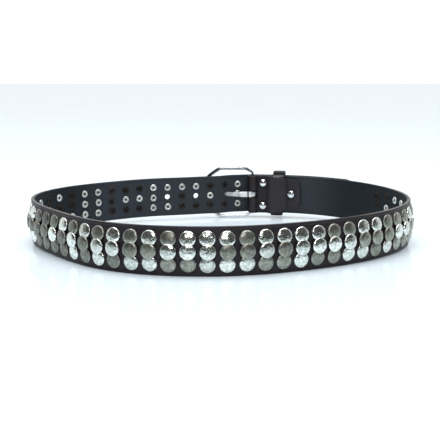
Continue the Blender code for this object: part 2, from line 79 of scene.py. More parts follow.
# The loop's middle line, as a radius at equal bearings from the pole, turning left from +X
LOOP_RADII = (
    ("right end", 0.174),
    ("right end, rear half", 0.158),
    ("plain stretch behind the tab", 0.138),
    ("keeper", 0.119),
    ("prong hole", 0.107),
    ("adjusting holes", 0.103),
    ("rear left, slack", 0.117),
    ("left end, rear half", 0.142),
    ("left end", 0.172),
    ("left end, front half", 0.167),
    ("front, left quarter", 0.160),
    ("front, left of the middle", 0.156),
    ("front, middle", 0.150),
    ("front, right of the middle", 0.147),
    ("front, right quarter", 0.154),
    ("right end, front half", 0.170),
)
POLE = Vector((-0.00074, 0.01847, 0.0))
LOOP_SAMPLES = 5760
HEEL_BAR_FROM_RIGHT_END = 0.1934

# The lower edge rests on the ground in front and rises to the buckle
BUCKLE_LIFT = 0.0054
RISE_STARTS_Y = -0.120
RISE_ENDS_Y = 0.1104

# The strap's width and its two ends
STRAP_WIDTH = 0.040
TONGUE_REACH = 0.120
FOLD_THICKNESS = 0.0025
FOLD_MIDDLE_RADIUS = 0.00395
HEEL_BAR_OFFSET = -0.00195
TONGUE_OFFSET = 0.0050
TAB_OFFSET = -0.00335
TAB_OVER_KEEPER = -0.00645

# Columns of studs, and of the adjusting holes between them
COLUMN_PITCH = 0.01538
FIRST_COLUMN_RUN = 0.0162
ROW_SPACING = 0.0104
HOLE_COLUMNS = (-3, -1, 1, 3, 5)
PRONG_COLUMN = 1
HOLE_RADIUS = 0.00275
WORN_HOLE = (0.0078, 0.0031, 0.00235)

# Finish of the top, middle and bottom stud of each column: silver, gunmetal, or none at a hole
STUD_CHART = (
    # from the buckle to the left end
    "SSS G.G GSG S.G SGG S.S SSS GSG GSG GGG SSS SSS GGS SGS GSG SGG SGS "
    # the front, from left to right
    "SGS SGS GGG GGG GSG SGG GSS SGG GSS SSG GGS SGS GSG SSG SSS "
    "SGS GGS SSG SGG SSS SSG GSG GSS SGS SGG GGS GSG GSG SGG "
    # the right end
    "GSG SGS SGG SGS GSG GGS"
).split()
ROWS = (
    # row's name, height above the strap's middle, base, rim and lean upwards in degrees
    ("top", ROW_SPACING, -0.0004, 0.0009, 11.5),
    ("middle", 0.0, 0.0011, 0.0031, 2.4),
    ("bottom", -ROW_SPACING, -0.0004, 0.0009, -4.0),
)

# How far the strap lies outside its middle line near the buckle, from the tongue's tip on
STRAP_OFFSETS = (
    (-0.0162, TONGUE_OFFSET),
    (-0.0090, 0.0051),
    (-0.0040, 0.0054),
    (0.0000, 0.0055),
    (0.0038, 0.0049),
    (0.00851, 0.0038),
    (0.02389, 0.0017),
    (0.03927, -0.0022),
    (0.05465, -0.0004),
    (0.07003, 0.0),
)
TONGUE_OUTLINE = (
    # run from the tip, half height
    (0.000, 0.0050),
    (0.0008, 0.0068),
    (0.002, 0.0090),
    (0.006, 0.0140),
    (0.012, 0.0178),
    (0.020, 0.0200),
)
SKIVED_OUTLINE = (
    # run, offset
    (-0.0095, 0.0),
    (-0.0070, 0.0002),
    (-0.0045, 0.0011),
    (-0.0020, 0.0018),
)
FOLD_STEPS = 24
# The bend's lower edge is cut short, more and more between these cosines of the angle from its
# outermost line
FOLD_BEND_CUT = 0.0010
FOLD_CUT_COSINES = (0.5, 0.9)
TAB_OUTLINE = (
    # run, offset, half height, how far it is cut off the strap's middle
    (-0.0042, -0.0050, 0.0200, 0.0000),
    (-0.0070, TAB_OFFSET, 0.0200, 0.0000),
    (-0.0115, TAB_OFFSET, 0.0200, 0.0000),
    (-0.0150, TAB_OFFSET, 0.0200, 0.0000),
    (-0.0166, -0.0038, 0.0200, 0.0000),
    (-0.0181, -0.0056, 0.0200, 0.0000),
    (-0.0196, TAB_OVER_KEEPER, 0.0200, 0.0000),
    (-0.0235, TAB_OVER_KEEPER, 0.0200, 0.0000),
    (-0.0274, TAB_OVER_KEEPER, 0.0198, 0.0001),
    (-0.0315, TAB_OVER_KEEPER, 0.0184, 0.0005),
    (-0.0350, TAB_OVER_KEEPER, 0.0171, 0.0009),
    (-0.0364, -0.0052, 0.0168, 0.0010),
    (-0.0380, TAB_OFFSET, 0.0165, 0.0010),
    (-0.0455, TAB_OFFSET, 0.0153, 0.0010),
    (-0.0484, TAB_OFFSET, 0.0147, 0.0010),
    (-0.0497, TAB_OFFSET, 0.0141, 0.0010),
    (-0.0506, TAB_OFFSET, 0.0132, 0.0010),
    (-0.0511, TAB_OFFSET, 0.0121, 0.0010),
    (-0.0514, TAB_OFFSET, 0.0108, 0.0010),
    (-0.0517, TAB_OFFSET, 0.0090, 0.0010),
)

# The buckle's frame: one rail, rounded at its far end, straight and thinner at the heel bar
FRAME_HEEL_CORNER = (
    # x from the heel bar, height from the frame's middle, both to the middle of the rail, and the
    # rail's thickness there as a share of its thickness in the rest of the frame
    (0.0000, 0.0190, 0.65),
    (0.0000, 0.0203, 0.65),
    (-0.0003, 0.0211, 0.65),
    (-0.0010, 0.0218, 0.66),
    (-0.0027, 0.0228, 0.70),
    (-0.0052, 0.0243, 0.80),
    (-0.0078, 0.0254, 0.92),
    (-0.0102, 0.0258, 1.00),
)
FRAME_END = (
    (-0.0322, 0.0258, 1.0),
    (-0.0350, 0.0253, 1.0),
    (-0.0403, 0.0222, 1.0),
    (-0.0475, 0.0166, 1.0),
    (-0.0525, 0.0101, 1.0),
    (-0.0550, 0.0047, 1.0),
    (-0.0556, 0.0000, 1.0),
)
FRAME_TURN_DEG = 2.0
PRONG_SLOT = (0.0050, 0.00535, 0.0066)

# The prong: where it is cranked, how far it rises and how far its ring is curled
PRONG_LENGTH = 0.0592
PRONG_RISE_RUN = (0.0131, 0.0401)
PRONG_RISE = 0.0064
PRONG_ROOT_RUN = (0.0118, 0.0150)
PRONG_ROOT_EXTRA = 0.0012
PRONG_GROOVE_REACH = 0.0048
PRONG_GROOVE_WIDTH = 0.0008
PRONG_GROOVE_DEPTH = 0.0012
PRONG_GROOVE_THINNER = 0.40
PRONG_RING_RADIUS = 0.0025
PRONG_CURL_DEG = (-90, 203)
PRONG_RING_WIDTH = 0.0049
PRONG_TAPER = 0.42
PRONG_TAPER_STARTS = 0.045
PRONG_END_RADIUS = 0.0007
PRONG_RING_END_RADIUS = 0.0003
PRONG_EDGE_RADIUS = 0.0006
PRONG_BAR_STEPS = 8
PRONG_CRANK_STEPS = 24
PRONG_ROOT_STEPS = 44
PRONG_CURL_STEP_DEG = 8

# The keeper, round both straps
KEEPER_RUN = -0.0274
KEEPER_LEAN = 0.050
KEEPER_BOX = (-0.0035, 0.0085, -0.0222, 0.0236)
KEEPER_CORNER = 0.0024
KEEPER_EDGE_RADIUS = 0.0007
KEEPER_CREASE_SHARE = 0.6
KEEPER_CORNER_STEPS = 6

# Slotted screws through the tab: run, height above the strap's middle, turn of the slot
SCREW_PLACES = (
    ("screw_upper", -0.0115, 0.0124, 4.0),
    ("screw_lower", -0.0115, -0.0121, -3.0),
    ("screw_end", -0.0424, 0.0010, 2.0),
)
SCREW_HEAD_FACE = -0.0052
SCREW_HEAD = {"Base": -0.0005, "Rim": 0.0004, "Crown": 0.0010, "Shoulder": 0.0008, "Slot Depth": 0.0010}
SCREW_SIDES = 28
SCREW_SEED = 3

# Rivets' backs: how far the ring and the bottom of its hollow stand off the leather
RIVET_RISE = 0.0009
RIVET_SIDES = 20
WELL_RISE = 0.0002
# How much of a copy's random lean goes to each axis, where caps turn freely about their own, and
# the same for its random shift
LEAN_WEIGHTS = (1.0, 1.0, 40.0)
SHIFT_WEIGHTS = (1.0, 1.0, 0.25)

# The strap's cross-section: rounded edges and a pressed line beside each
STRAP_EDGE_RADIUS = 0.0007
CREASE_INSET = 0.0027
CREASE_WIDTH = 0.0009
FACE_SPAN = 0.03
CUT_EDGE_SHARE = 0.009
ROUNDING_STEPS = 3
END_ROUNDING_DEG = (30, 60, 85)
STRAP_END_RADIUS = 0.0008
RAIL_EDGE_RADIUS = 0.0012
SHARP_FROM_DEG = 38

# How far apart the stops of a sweep are, and where the strap's evenly spaced rows start and end
STRAP_STEP = 0.0018
KEEPER_STEP = 0.002
RAIL_STEP = 0.0012
ROW_STEP = 0.004
ROWS_START = 0.024
ROWS_END_BEFORE_FOLD = 0.0120

# How many sides a hole has, and the steps of each round end of the worn hole and the fold's slot
HOLE_SIDES = 24
WORN_HOLE_STEPS = 10
SLOT_STEPS = 16

# A hole's flared rims: how much wider they get, and how far in that begins
HOLE_FLARE = 0.00035
HOLE_FLARE_LENGTH = 0.0007

# Where the leather has painted sheen, highlight, reflection and shade, and where the keeper is rubbed: the
# first and last place, and over how much it fades
# Painted sheen on the waist side near the buckle, where the key light would glint
INNER_SHEEN_STRETCH = (-0.110, 0.092, 0.045)
# Painted reflection of the backdrop on the front's cut edges at both sides
PALE_EDGE_MIDDLE = 0.025
PALE_EDGE_FROM_MIDDLE = (0.080, 0.115)
PALE_EDGE_BACK = (0.03, 0.08)
# Painted sheen on the tab
TAB_SHEEN_ALONG = (0.0190, 0.0520, 0.0030)
TAB_SHEEN_DEPTH = (-0.0200, -0.0010, 0.0010)
TAB_SHEEN_HEIGHT = (0.0080, 0.0435, 0.0020)
FOLD_DEPTH = (-0.0100, -0.0010, 0.0010)
FOLD_BEND_DEPTH = (-0.0100, 0.0025, 0.0010)
# Painted highlight over the fold's curve
FOLD_HIGHLIGHT = (-0.0007, 0.0020, 0.0012)
# Painted shade in the fold's bend and in the hollow where the tab dips back to the strap
FOLD_TURNED = (-0.0060, -0.0034, 0.0010)
FOLD_SUNK = (0.0036, 0.0052, 0.0010)
# Painted shade in a ring round each screw
SCREW_SHADE_RING = (0.0044, 0.0068)
KEEPER_DEPTH = (-0.0120, -0.0025, 0.0005)
KEEPER_ALONG = (-0.0040, 0.0060, 0.0006)
# Painted shade on the keeper's upward-facing bend
KEEPER_BEND_HEIGHT = (0.0464, 0.0474)
# The keeper's rubbed strip: wear with a painted highlight
KEEPER_STRIP_HEIGHT = (0.0447, 0.0462, 0.0006)

# How many lumps of each noise in the leather there are in a metre, and how deep its relief is
LEATHER_CLOUDS = 26.0
LEATHER_GRAIN = 1150.0
LEATHER_PORES = 620.0
LEATHER_UNEVENNESS = 130.0
EDGE_MOTTLE = 420.0
EDGE_PATCHES = 240.0
STRIP_SPECKS = 900.0
LEATHER_RELIEF = 0.00025
LEATHER_SHINE = 0.17
# Painted shade in the fold's bend and hollow and round the screws
PAINTED_SHADE_COLOUR = (0.003, 0.003, 0.0035)

# The same for the noises of the metals
STEEL_HAZE = 160.0
STEEL_STREAKS = 420.0
STEEL_DENTS = 330.0
PRONG_BANDS = 110.0
STUD_HOLLOWS = 420.0
STUD_SCRATCHES = 2100.0
STUD_LUMPS = 380.0
CAP_DENTS = 260.0
WELL_DIRT = 1500.0

# Steel: its roughness and the depth of its dents
FRAME_STEEL = (0.10, 0.00006)
PRONG_STEEL = (0.40, 0.00001)
PRONG_COLOUR = (0.98, 0.98, 0.97)
SCREW_STEEL = (0.12, 0.00005)
# Stud metals: colour in the hollows, colour of the rubbed rim, roughness, depth of the dents and
# how deep fine scratches are beside them
SILVER_STUD = ((0.55, 0.60, 0.53), (0.98, 0.98, 0.97), 0.12, 0.00034, 0.20)
GUNMETAL_STUD = ((0.225, 0.23, 0.20), (0.50, 0.49, 0.45), 0.34, 0.00014, 0.10)
SILVER_RIVET = ((0.62, 0.64, 0.60), (0.95, 0.95, 0.94), 0.38, 0.00002, 0.10)
GUNMETAL_RIVET = ((0.03, 0.025, 0.022), (0.11, 0.09, 0.08), 0.40, 0.00002, 0.10)
GUNMETAL_RIVET_FACE = (0.060, 0.050, 0.044)
# Painted shade in the rivets' hollows, behind the silver ones and the gunmetal ones
LIGHT_WELL = (0.085, 0.070, 0.055)
DARK_WELL = (0.006, 0.005, 0.005)
# Where along X the painted shade on the gunmetal studs goes from their darkest to their own colour
DARKER_END = (-0.170, -0.070)

# The buckle's painted dark reflections along its rail, as a share of the rail from its inner side at -1 to
# its outer side at 1, and the stretches where shade and reflection are painted on the rail's slopes and on
# the prong, from the heel bar
RAIL_INNER_LINE = (-0.52, -0.15)
RAIL_OUTER_LINE = (0.25, 0.50)
UPPER_HALF = (0.020, 0.034)
LEFT_SLOPE = (-0.0500, -0.0370, 0.0020)
RIGHT_SLOPE = (-0.0070, 0.0040, 0.0015)
PRONG_THIN_TO = (-0.0142, -0.0130)
PRONG_GROOVE = (-0.0055, -0.0043, 0.0003)
PRONG_WAIST = (-0.0010, -0.0006, 0.0008)

# The stage: the floor's edge towards the camera, the softboxes and what they are turned to
FLOOR_FRONT = -0.50
FLOOR_HALF = 5.0
FLOOR_CLOUDS = 6.0
FLOOR_GLOW = 0.11
FLOOR_SHINE = 0.3
KEY_SOFTBOX = ((0.0, -1.35, 0.74), (0.44, 0.50))
OVERHEAD_SOFTBOX = ((0.0, -0.1, 1.5), (1.9, 1.3))
LIT_POINT = Vector((0.0, 0.0, 0.03))
BACKDROP_FROM = (-0.25, 0.35)
CEILING_FROM = (0.72, 0.90)
SEEN_BACKDROP = 1.2
WORLD_COLOUR = (0.97, 0.99, 1.0)
PHOTO_WIDTH_PX = 440.0
FOCAL_LENGTH_PX = 871.0
SENSOR_WIDTH_MM = 36.0


def smooth_step(t):
    t = min(max(t, 0.0), 1.0)
    return t * t * (3 - 2 * t)


def table_curve(rows, places):
    """Smooth values through rows of (place, value), with no overshoot, level past both ends."""
    x = np.array([row[0] for row in rows])
    y = np.array([row[1] for row in rows])
    gaps = np.diff(x)
    slopes = np.diff(y) / gaps
    tangents = np.zeros(len(x))
    together = slopes[:-1] * slopes[1:] > 0
    harmonic = 2 * slopes[:-1] * slopes[1:] / np.where(together, slopes[:-1] + slopes[1:], 1.0)
    tangents[1:-1] = np.where(together, harmonic, 0.0)
    i = np.clip(np.searchsorted(x, places) - 1, 0, len(gaps) - 1)
    t = np.clip((places - x[i]) / gaps[i], 0.0, 1.0)
    ends = y[i] * (1 + 2 * t) * (1 - t) ** 2 + y[i + 1] * t**2 * (3 - 2 * t)
    return ends + gaps[i] * (tangents[i] * t * (1 - t) ** 2 - tangents[i + 1] * t**2 * (1 - t))


def thread(rows, step):
    """A smooth curve through rows of numbers, whose first two are a point, in steps of a length."""
    rows = np.array(rows)
    gaps = np.hypot(*np.diff(rows[:, :2], axis=0).T)
    slopes = np.diff(rows, axis=0) / gaps[:, None]
    tangents = np.empty_like(rows)
    tangents[0], tangents[-1] = slopes[0], slopes[-1]
    before, after = gaps[:-1, None], gaps[1:, None]
    tangents[1:-1] = (slopes[:-1] * after + slopes[1:] * before) / (before + after)
    found = []
    for i, gap in enumerate(gaps):
        for t in np.arange(steps := max(1, math.ceil(gap / step))) / steps:
            ends = rows[i] * (1 + 2 * t) * (1 - t) ** 2 + rows[i + 1] * t**2 * (3 - 2 * t)
            found.append(ends + gap * (tangents[i] * t * (1 - t) ** 2 - tangents[i + 1] * t**2 * (1 - t)))
    return np.array(found + [rows[-1]])


def loop_radius(bearings):
    """The smooth closed curve through LOOP_RADII, as the sum of its harmonics."""
    radii = np.array([radius for _, radius in LOOP_RADII])
    harmonics = np.fft.rfft(radii) / len(radii)
    orders = np.arange(len(harmonics))
    weights = np.where((orders == 0) | (orders == len(radii) // 2), 1.0, 2.0)
    turns = np.outer(bearings, orders)
    return (weights * (harmonics.real * np.cos(turns) - harmonics.imag * np.sin(turns))).sum(axis=1)


BEARINGS = np.linspace(0.0, math.tau, LOOP_SAMPLES + 1)
LOOP_X = loop_radius(BEARINGS) * np.cos(BEARINGS)
LOOP_Y = loop_radius(BEARINGS) * np.sin(BEARINGS)
LOOP_ARC = np.concatenate([[0.0], np.cumsum(np.hypot(np.diff(LOOP_X), np.diff(LOOP_Y)))])
LOOP_LENGTH = float(LOOP_ARC[-1])


def loop_point(run, offset=0.0):
    """A point on the middle line, or offset outwards from it, in plan."""
    step = 0.0001
    arcs = (HEEL_BAR_FROM_RIGHT_END + run + np.array([-step, 0.0, step])) % LOOP_LENGTH
    x, y = np.interp(arcs, LOOP_ARC, LOOP_X), np.interp(arcs, LOOP_ARC, LOOP_Y)
    along = Vector((x[2] - x[0], y[2] - y[0])).normalized()
    return Vector((x[1], y[1])) + Vector((along.y, -along.x)) * offset


def lift(y):
    """The height of the strap's lower edge, from how far back it is."""
    return BUCKLE_LIFT * np.maximum(0.0, (y - RISE_STARTS_Y) / (RISE_ENDS_Y - RISE_STARTS_Y))


def strap_offset(run):
    return float(table_curve(STRAP_OFFSETS, np.array([run]))[0])


def strap_axes(run, offset=None):
    """Axes on the strap at mid height: X to the right seen from inside, Y outwards, Z up."""
    step = 0.0005
    near = []
    for place in (run - step, run, run + step):
        near.append(loop_point(place, strap_offset(place) if offset is None else offset))
    x_axis = (near[0] - near[2]).normalized().to_3d()
    y_axis = Vector((-x_axis.y, x_axis.x, 0.0))
    turned = Matrix((x_axis, y_axis, Vector((0.0, 0.0, 1.0)))).transposed().to_4x4()
    origin = (near[1] + POLE.xy).to_3d()
    origin.z = float(lift(near[1].y)) + STRAP_WIDTH / 2
    return Matrix.Translation(origin) @ turned


def buckle_axes():
    """The heel bar's axes, with the frame turned towards the studs."""
    return strap_axes(0.0, HEEL_BAR_OFFSET) @ Matrix.Rotation(math.radians(FRAME_TURN_DEG), 4, "Z")


def column_run(column):
    return FIRST_COLUMN_RUN + column * COLUMN_PITCH


def strap_rows(width, thickness):
    """Rows of plan x, plan y, half height, thickness and how far the strap's middle is raised."""
    tip = [place for place, _ in TONGUE_OUTLINE]
    last = TONGUE_REACH + LOOP_LENGTH - ROWS_END_BEFORE_FOLD
    runs = np.concatenate([np.array(tip), np.arange(ROWS_START, last, ROW_STEP)])
    halves = table_curve(TONGUE_OUTLINE, runs)
    rows = []
    for run, half in zip(runs - TONGUE_REACH, halves):
        rows.append((*loop_point(run, strap_offset(run)), half, thickness, 0.0))
    skive_starts = SKIVED_OUTLINE[0][0]
    for run, offset in SKIVED_OUTLINE:
        taper = thickness + (FOLD_THICKNESS - thickness) * (1 - run / skive_starts)
        rows.append((*loop_point(run, offset), width / 2, taper, 0.0))
    bar = strap_axes(0.0, HEEL_BAR_OFFSET)
    cut_starts, cut_ends = FOLD_CUT_COSINES
    for degrees in np.linspace(90, 270, FOLD_STEPS + 1):
        angle = math.radians(degrees)
        spot = bar @ (Vector((math.cos(angle), math.sin(angle), 0.0)) * FOLD_MIDDLE_RADIUS)
        cut = FOLD_BEND_CUT * smooth_step((math.cos(math.pi - angle) - cut_starts) / (cut_ends - cut_starts))
        rows.append((spot.x - POLE.x, spot.y - POLE.y, (width - cut) / 2, FOLD_THICKNESS, cut / 2))
    for run, offset, half, raised in TAB_OUTLINE:
        rows.append((*loop_point(run, offset), half, FOLD_THICKNESS, raised))
    return rows


def section_half(thickness, half, edge_radius, crease_depth):
    """One side of a strap's cross-section from its lower edge's middle to its upper edge's.

    Each row is the distance outwards, the height, and a share that is 0 at the lower edge, 0.5 at
    the upper one and between FACE_SPAN and 0.5 - FACE_SPAN on the flat of the face.
    """
    radius = min(edge_radius, 0.45 * thickness)
    inset = min(CREASE_INSET, 0.3 * half)
    flank = min(CREASE_WIDTH / 2, 0.2 * inset)
    lower = [(0.0, -half, 0.0)]
    for i in range(ROUNDING_STEPS + 1):
        angle = math.pi / 2 * i / ROUNDING_STEPS
        across = thickness / 2 - radius + radius * math.sin(angle)
        share = CUT_EDGE_SHARE + (FACE_SPAN - CUT_EDGE_SHARE) * i / ROUNDING_STEPS
        lower.append((across, -half + radius - radius * math.cos(angle), share))
    for rise, depth in ((inset - flank, 0.0), (inset, crease_depth), (inset + flank, 0.0)):
        height = rise - half
        lower.append((thickness / 2 - depth, height, FACE_SPAN + (0.5 - 2 * FACE_SPAN) * rise / (2 * half)))
    for share_up in (0.22, 0.36):
        height = half * (2 * share_up - 1)
        lower.append((thickness / 2, height, FACE_SPAN + (0.5 - 2 * FACE_SPAN) * share_up))
    upper = [(across, -height, 0.5 - share) for across, height, share in reversed(lower)]
    return lower + [(thickness / 2, 0.0, 0.25)] + upper


def section(thickness, half, edge_radius=STRAP_EDGE_RADIUS, crease_depth=0.0):
    outer = section_half(thickness, half, edge_radius, crease_depth)
    inner = [(-across, height, 1.0 - share) for across, height, share in reversed(outer[1:-1])]
    return outer + inner


def sweep(name, stops, closed, edge_radius, crease_depth):
    """A strap of leather or metal through stops of (centre, outwards, upwards, thickness, half height).

    Its UV map holds the length in metres and the section's share, so that a finish can tell the
    outer face from the inner one and from the edges.
    """
    corners, shares, lengths = [], [], []
    reached = 0.0
    for i, (centre, outward, upward, thickness, half) in enumerate(stops):
        if i:
            reached += (centre - stops[i - 1][0]).length
        lengths.append(reached)
        outline = section(thickness, half, edge_radius, crease_depth)
        corners += [centre + outward * across + upward * height for across, height, _ in outline]
        shares = [share for _, _, share in outline] + [1.0]
    count, ring = len(stops), len(shares) - 1
    if closed:
        lengths.append(reached + (stops[0][0] - stops[-1][0]).length)
    faces, places = [], []
    for i in range(count if closed else count - 1):
        nearer, farther = i * ring, (i + 1) % count * ring
        for j in range(ring):
            k = (j + 1) % ring
            faces.append((nearer + j, farther + j, farther + k, nearer + k))
            places += [(lengths[i], shares[j]), (lengths[i + 1], shares[j])]
            places += [(lengths[i + 1], shares[j + 1]), (lengths[i], shares[j + 1])]
    if not closed:
        first, last = list(range(ring)), list(range((count - 1) * ring, count * ring))
        faces += [first, last[::-1]]
        places += [(lengths[0], 0.0)] * ring + [(lengths[-1], 0.0)] * ring
    mesh = bpy.data.meshes.new(name)
    mesh.from_pydata(corners, [], faces)
    layer = mesh.uv_layers.new(name="along_and_across")
    layer.data.foreach_set("uv", np.array(places, dtype=np.float32).ravel())
    point_outwards(mesh)
    return mesh


def point_outwards(mesh):
    shape = bmesh.new()
    shape.from_mesh(mesh)
    bmesh.ops.recalc_face_normals(shape, faces=shape.faces[:])
    shape.to_mesh(mesh)
    shape.free()


def rounded_end(stops, radius, at_start):
    """Stops past an end of a strap, which round its last edge over."""
    end, beside = (stops[0], stops[1]) if at_start else (stops[-1], stops[-2])
    centre, outward, upward, thickness, half = end
    direction = (centre - beside[0]).normalized()
    more = []
    for degrees in END_ROUNDING_DEG:
        angle = math.radians(degrees)
        inset = radius * (1 - math.cos(angle))
        place = centre + direction * radius * math.sin(angle)
        more.append((place, outward, upward, thickness - 2 * inset, half - inset))
    return more[::-1] + stops if at_start else stops + more


def new_object(name, data):
    made = bpy.data.objects.new(name, data)
    bpy.context.scene.collection.objects.link(made)
    return made


def discard(*things):
    for thing in things:
        bpy.data.objects.remove(thing, do_unlink=True)


def evaluated_mesh(thing, name):
    """The object's mesh with its modifiers, as a plain mesh."""
    graph = bpy.context.evaluated_depsgraph_get()
    graph.update()
    made = bpy.data.meshes.new_from_object(thing.evaluated_get(graph), depsgraph=graph)
    made.name = name
    return made


def cut_away(mesh, cutter_mesh):
    """The mesh with a cutter taken out of it."""
    solid, cutter = new_object("solid", mesh), new_object("cutter", cutter_mesh)
    cut = solid.modifiers.new("Cut", "BOOLEAN")
    cut.operation = "DIFFERENCE"
    cut.solver = "EXACT"
    cut.object = cutter
    made = evaluated_mesh(solid, mesh.name)
    discard(solid, cutter)
    return made


def finish_piece(name, mesh, finish, replaced=(), smooth_deg=SHARP_FROM_DEG):
    """Adds a piece to the belt: its finish, its shading and the body that it rides on."""
    piece = new_object(name, mesh)
    if finish:
        mesh.materials.clear()
        mesh.materials.append(finish)
    mesh.shade_smooth()
    if smooth_deg:
        mesh.set_sharp_from_angle(angle=math.radians(smooth_deg))
    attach(piece, "root")
    if replaced:
        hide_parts(*replaced)
    return piece


class NodeMaker:
    """Adds nodes to a tree, where each input is a number, a colour or another node's output."""

    def __init__(self, tree):
        self.tree = tree

    def add(self, kind, inputs=None, **settings):
        node = self.tree.nodes.new(kind)
        for name, value in settings.items():
            setattr(node, name, value)
        for socket, value in (inputs or {}).items():
            self.feed(node.inputs[socket], value)
        return node

    def feed(self, socket, value):
        if isinstance(value, bpy.types.NodeSocket):
            self.tree.links.new(value, socket)
        else:
            socket.default_value = value

    def math(self, operation, *values):
        return self.add("ShaderNodeMath", dict(enumerate(values)), operation=operation).outputs[0]

    def plus(self, first, second):
        return self.math("ADD", first, second)

    def minus(self, first, second):
        return self.math("SUBTRACT", first, second)

    def times(self, first, *others):
        product = first
        for factor in others:
            product = self.math("MULTIPLY", product, factor)
        return product

    def split(self, vector):
        return self.add("ShaderNodeSeparateXYZ", {0: vector}).outputs

    def vector(self, x=0.0, y=0.0, z=0.0):
        return self.add("ShaderNodeCombineXYZ", {"X": x, "Y": y, "Z": z}).outputs[0]

    def position(self):
        return self.add("GeometryNodeInputPosition").outputs[0]

    def stored(self, geometry, name, value):
        """The geometry with a value kept on its points, under a name."""
        inputs = {"Geometry": geometry, "Name": name, "Value": value}
        node = self.add("GeometryNodeStoreNamedAttribute", inputs, data_type="FLOAT", domain="POINT")
        return node.outputs[0]

    def attribute(self, name):
        return self.add("ShaderNodeAttribute", attribute_name=name).outputs["Fac"]

    def vector_math(self, operation, *values):
        node = self.add("ShaderNodeVectorMath", dict(enumerate(values)), operation=operation)
        return node.outputs["Value" if operation in ("LENGTH", "DOT_PRODUCT") else "Vector"]

    def scaled(self, vector, factor):
        inputs = {"Vector": vector, "Scale": factor}
        return self.add("ShaderNodeVectorMath", inputs, operation="SCALE").outputs[0]

    def span(self, value, low, high, to_low=0.0, to_high=1.0, smooth=True):
        inputs = {"Value": value, "From Min": low, "From Max": high, "To Min": to_low, "To Max": to_high}
        kind = "SMOOTHSTEP" if smooth else "LINEAR"
        return self.add("ShaderNodeMapRange", inputs, interpolation_type=kind).outputs["Result"]

    def mix(self, share, first, second, blend="MIX"):
        node = self.add("ShaderNodeMix", {"Factor": share}, data_type="RGBA", blend_type=blend)
        sockets = {socket.identifier: socket for socket in (*node.inputs, *node.outputs)}
        self.feed(sockets["A_Color"], first)
        self.feed(sockets["B_Color"], second)
        return sockets["Result_Color"]

    def grey(self, value):
        return self.add("ShaderNodeCombineColor", {0: value, 1: value, 2: value}).outputs[0]

    def between(self, value, first, last, soft):
        """1 from first to last, fading to 0 over a soft distance outside them."""
        rising = self.span(value, first - soft, first)
        return self.times(rising, self.span(value, last, last + soft, 1.0, 0.0))

    def along_axes(self, place, axes):
        """How far a place lies along the first and the second of some axes."""
        offset = self.vector_math("SUBTRACT", place, axes.translation)
        return [self.vector_math("DOT_PRODUCT", offset, axes.col[i].to_3d()) for i in range(2)]

    def noise(self, vector, scale, detail=2.0, roughness=0.5):
        inputs = {"Vector": vector, "Scale": scale, "Detail": detail, "Roughness": roughness}
        return self.add("ShaderNodeTexNoise", inputs).outputs["Fac"]

    def dress(self, shader, colour, roughness, relief, depth, strength=1.0):
        """Gives a shader its colour, roughness and relief."""
        bump = self.add("ShaderNodeBump", {"Strength": strength, "Distance": depth, "Height": relief})
        self.feed(shader.inputs["Base Color"], colour)
        self.feed(shader.inputs["Roughness"], roughness)
        self.feed(shader.inputs["Normal"], bump.outputs[0])


def rgba(colour):
    return (*colour, 1.0)


def new_material(name):
    """A material, its node maker, its shader and the object's own coordinates."""
    made = bpy.data.materials.new(name)
    made.use_nodes = True
    maker = NodeMaker(made.node_tree)
    shader = made.node_tree.nodes["Principled BSDF"]
    place = maker.add("ShaderNodeTexCoord").outputs["Object"]
    return made, maker, shader, place


def leather_finish(settings):
    """Smooth dark leather: brown outside, blue-black inside, creased, with painted sheen, highlight,
    reflection and shade at the buckle, the keeper and the front's cut edges, and rubbed on the keeper.
    """
    made, maker, shader, place = new_material("dark leather")
    run_map = maker.add("ShaderNodeUVMap", uv_map="along_and_across").outputs[0]
    across = maker.split(run_map)["Y"]
    inner = maker.math("GREATER_THAN", across, 0.5)
    clouds = maker.noise(place, LEATHER_CLOUDS, 4.0, 0.6)
    # Painted sheen: the waist side made paler near the buckle
    paler = maker.times(inner, maker.between(maker.split(place)["X"], *INNER_SHEEN_STRETCH))
    face = maker.mix(inner, rgba(settings.outer_colour), rgba(settings.inner_colour))
    face = maker.mix(paler, face, rgba(settings.inner_sheen_colour))
    face = maker.mix(maker.span(clouds, 0.35, 0.75), face, rgba(settings.faded_colour), "ADD")
    face = buckle_painted_light(maker, place, inner, face, settings)
    face = keeper_shade_and_wear(maker, place, face, settings)
    colour = leather_edges(maker, place, maker.math("PINGPONG", across, 0.25), face, settings)

    roughness = maker.plus(maker.span(clouds, 0.3, 0.7, 0.36, 0.48), maker.times(inner, 0.14))
    pores = maker.add("ShaderNodeTexVoronoi", {"Vector": place, "Scale": LEATHER_PORES}, feature="SMOOTH_F1")
    grain = maker.times(maker.noise(place, LEATHER_GRAIN, 3.0, 0.6), 0.5)
    relief = maker.plus(grain, maker.times(pores.outputs["Distance"], 0.7))
    relief = maker.plus(relief, maker.times(maker.noise(place, LEATHER_UNEVENNESS, 3.0), 1.6))
    maker.dress(shader, colour, roughness, relief, LEATHER_RELIEF, strength=0.5)
    shader.inputs["Specular IOR Level"].default_value = LEATHER_SHINE
    return made


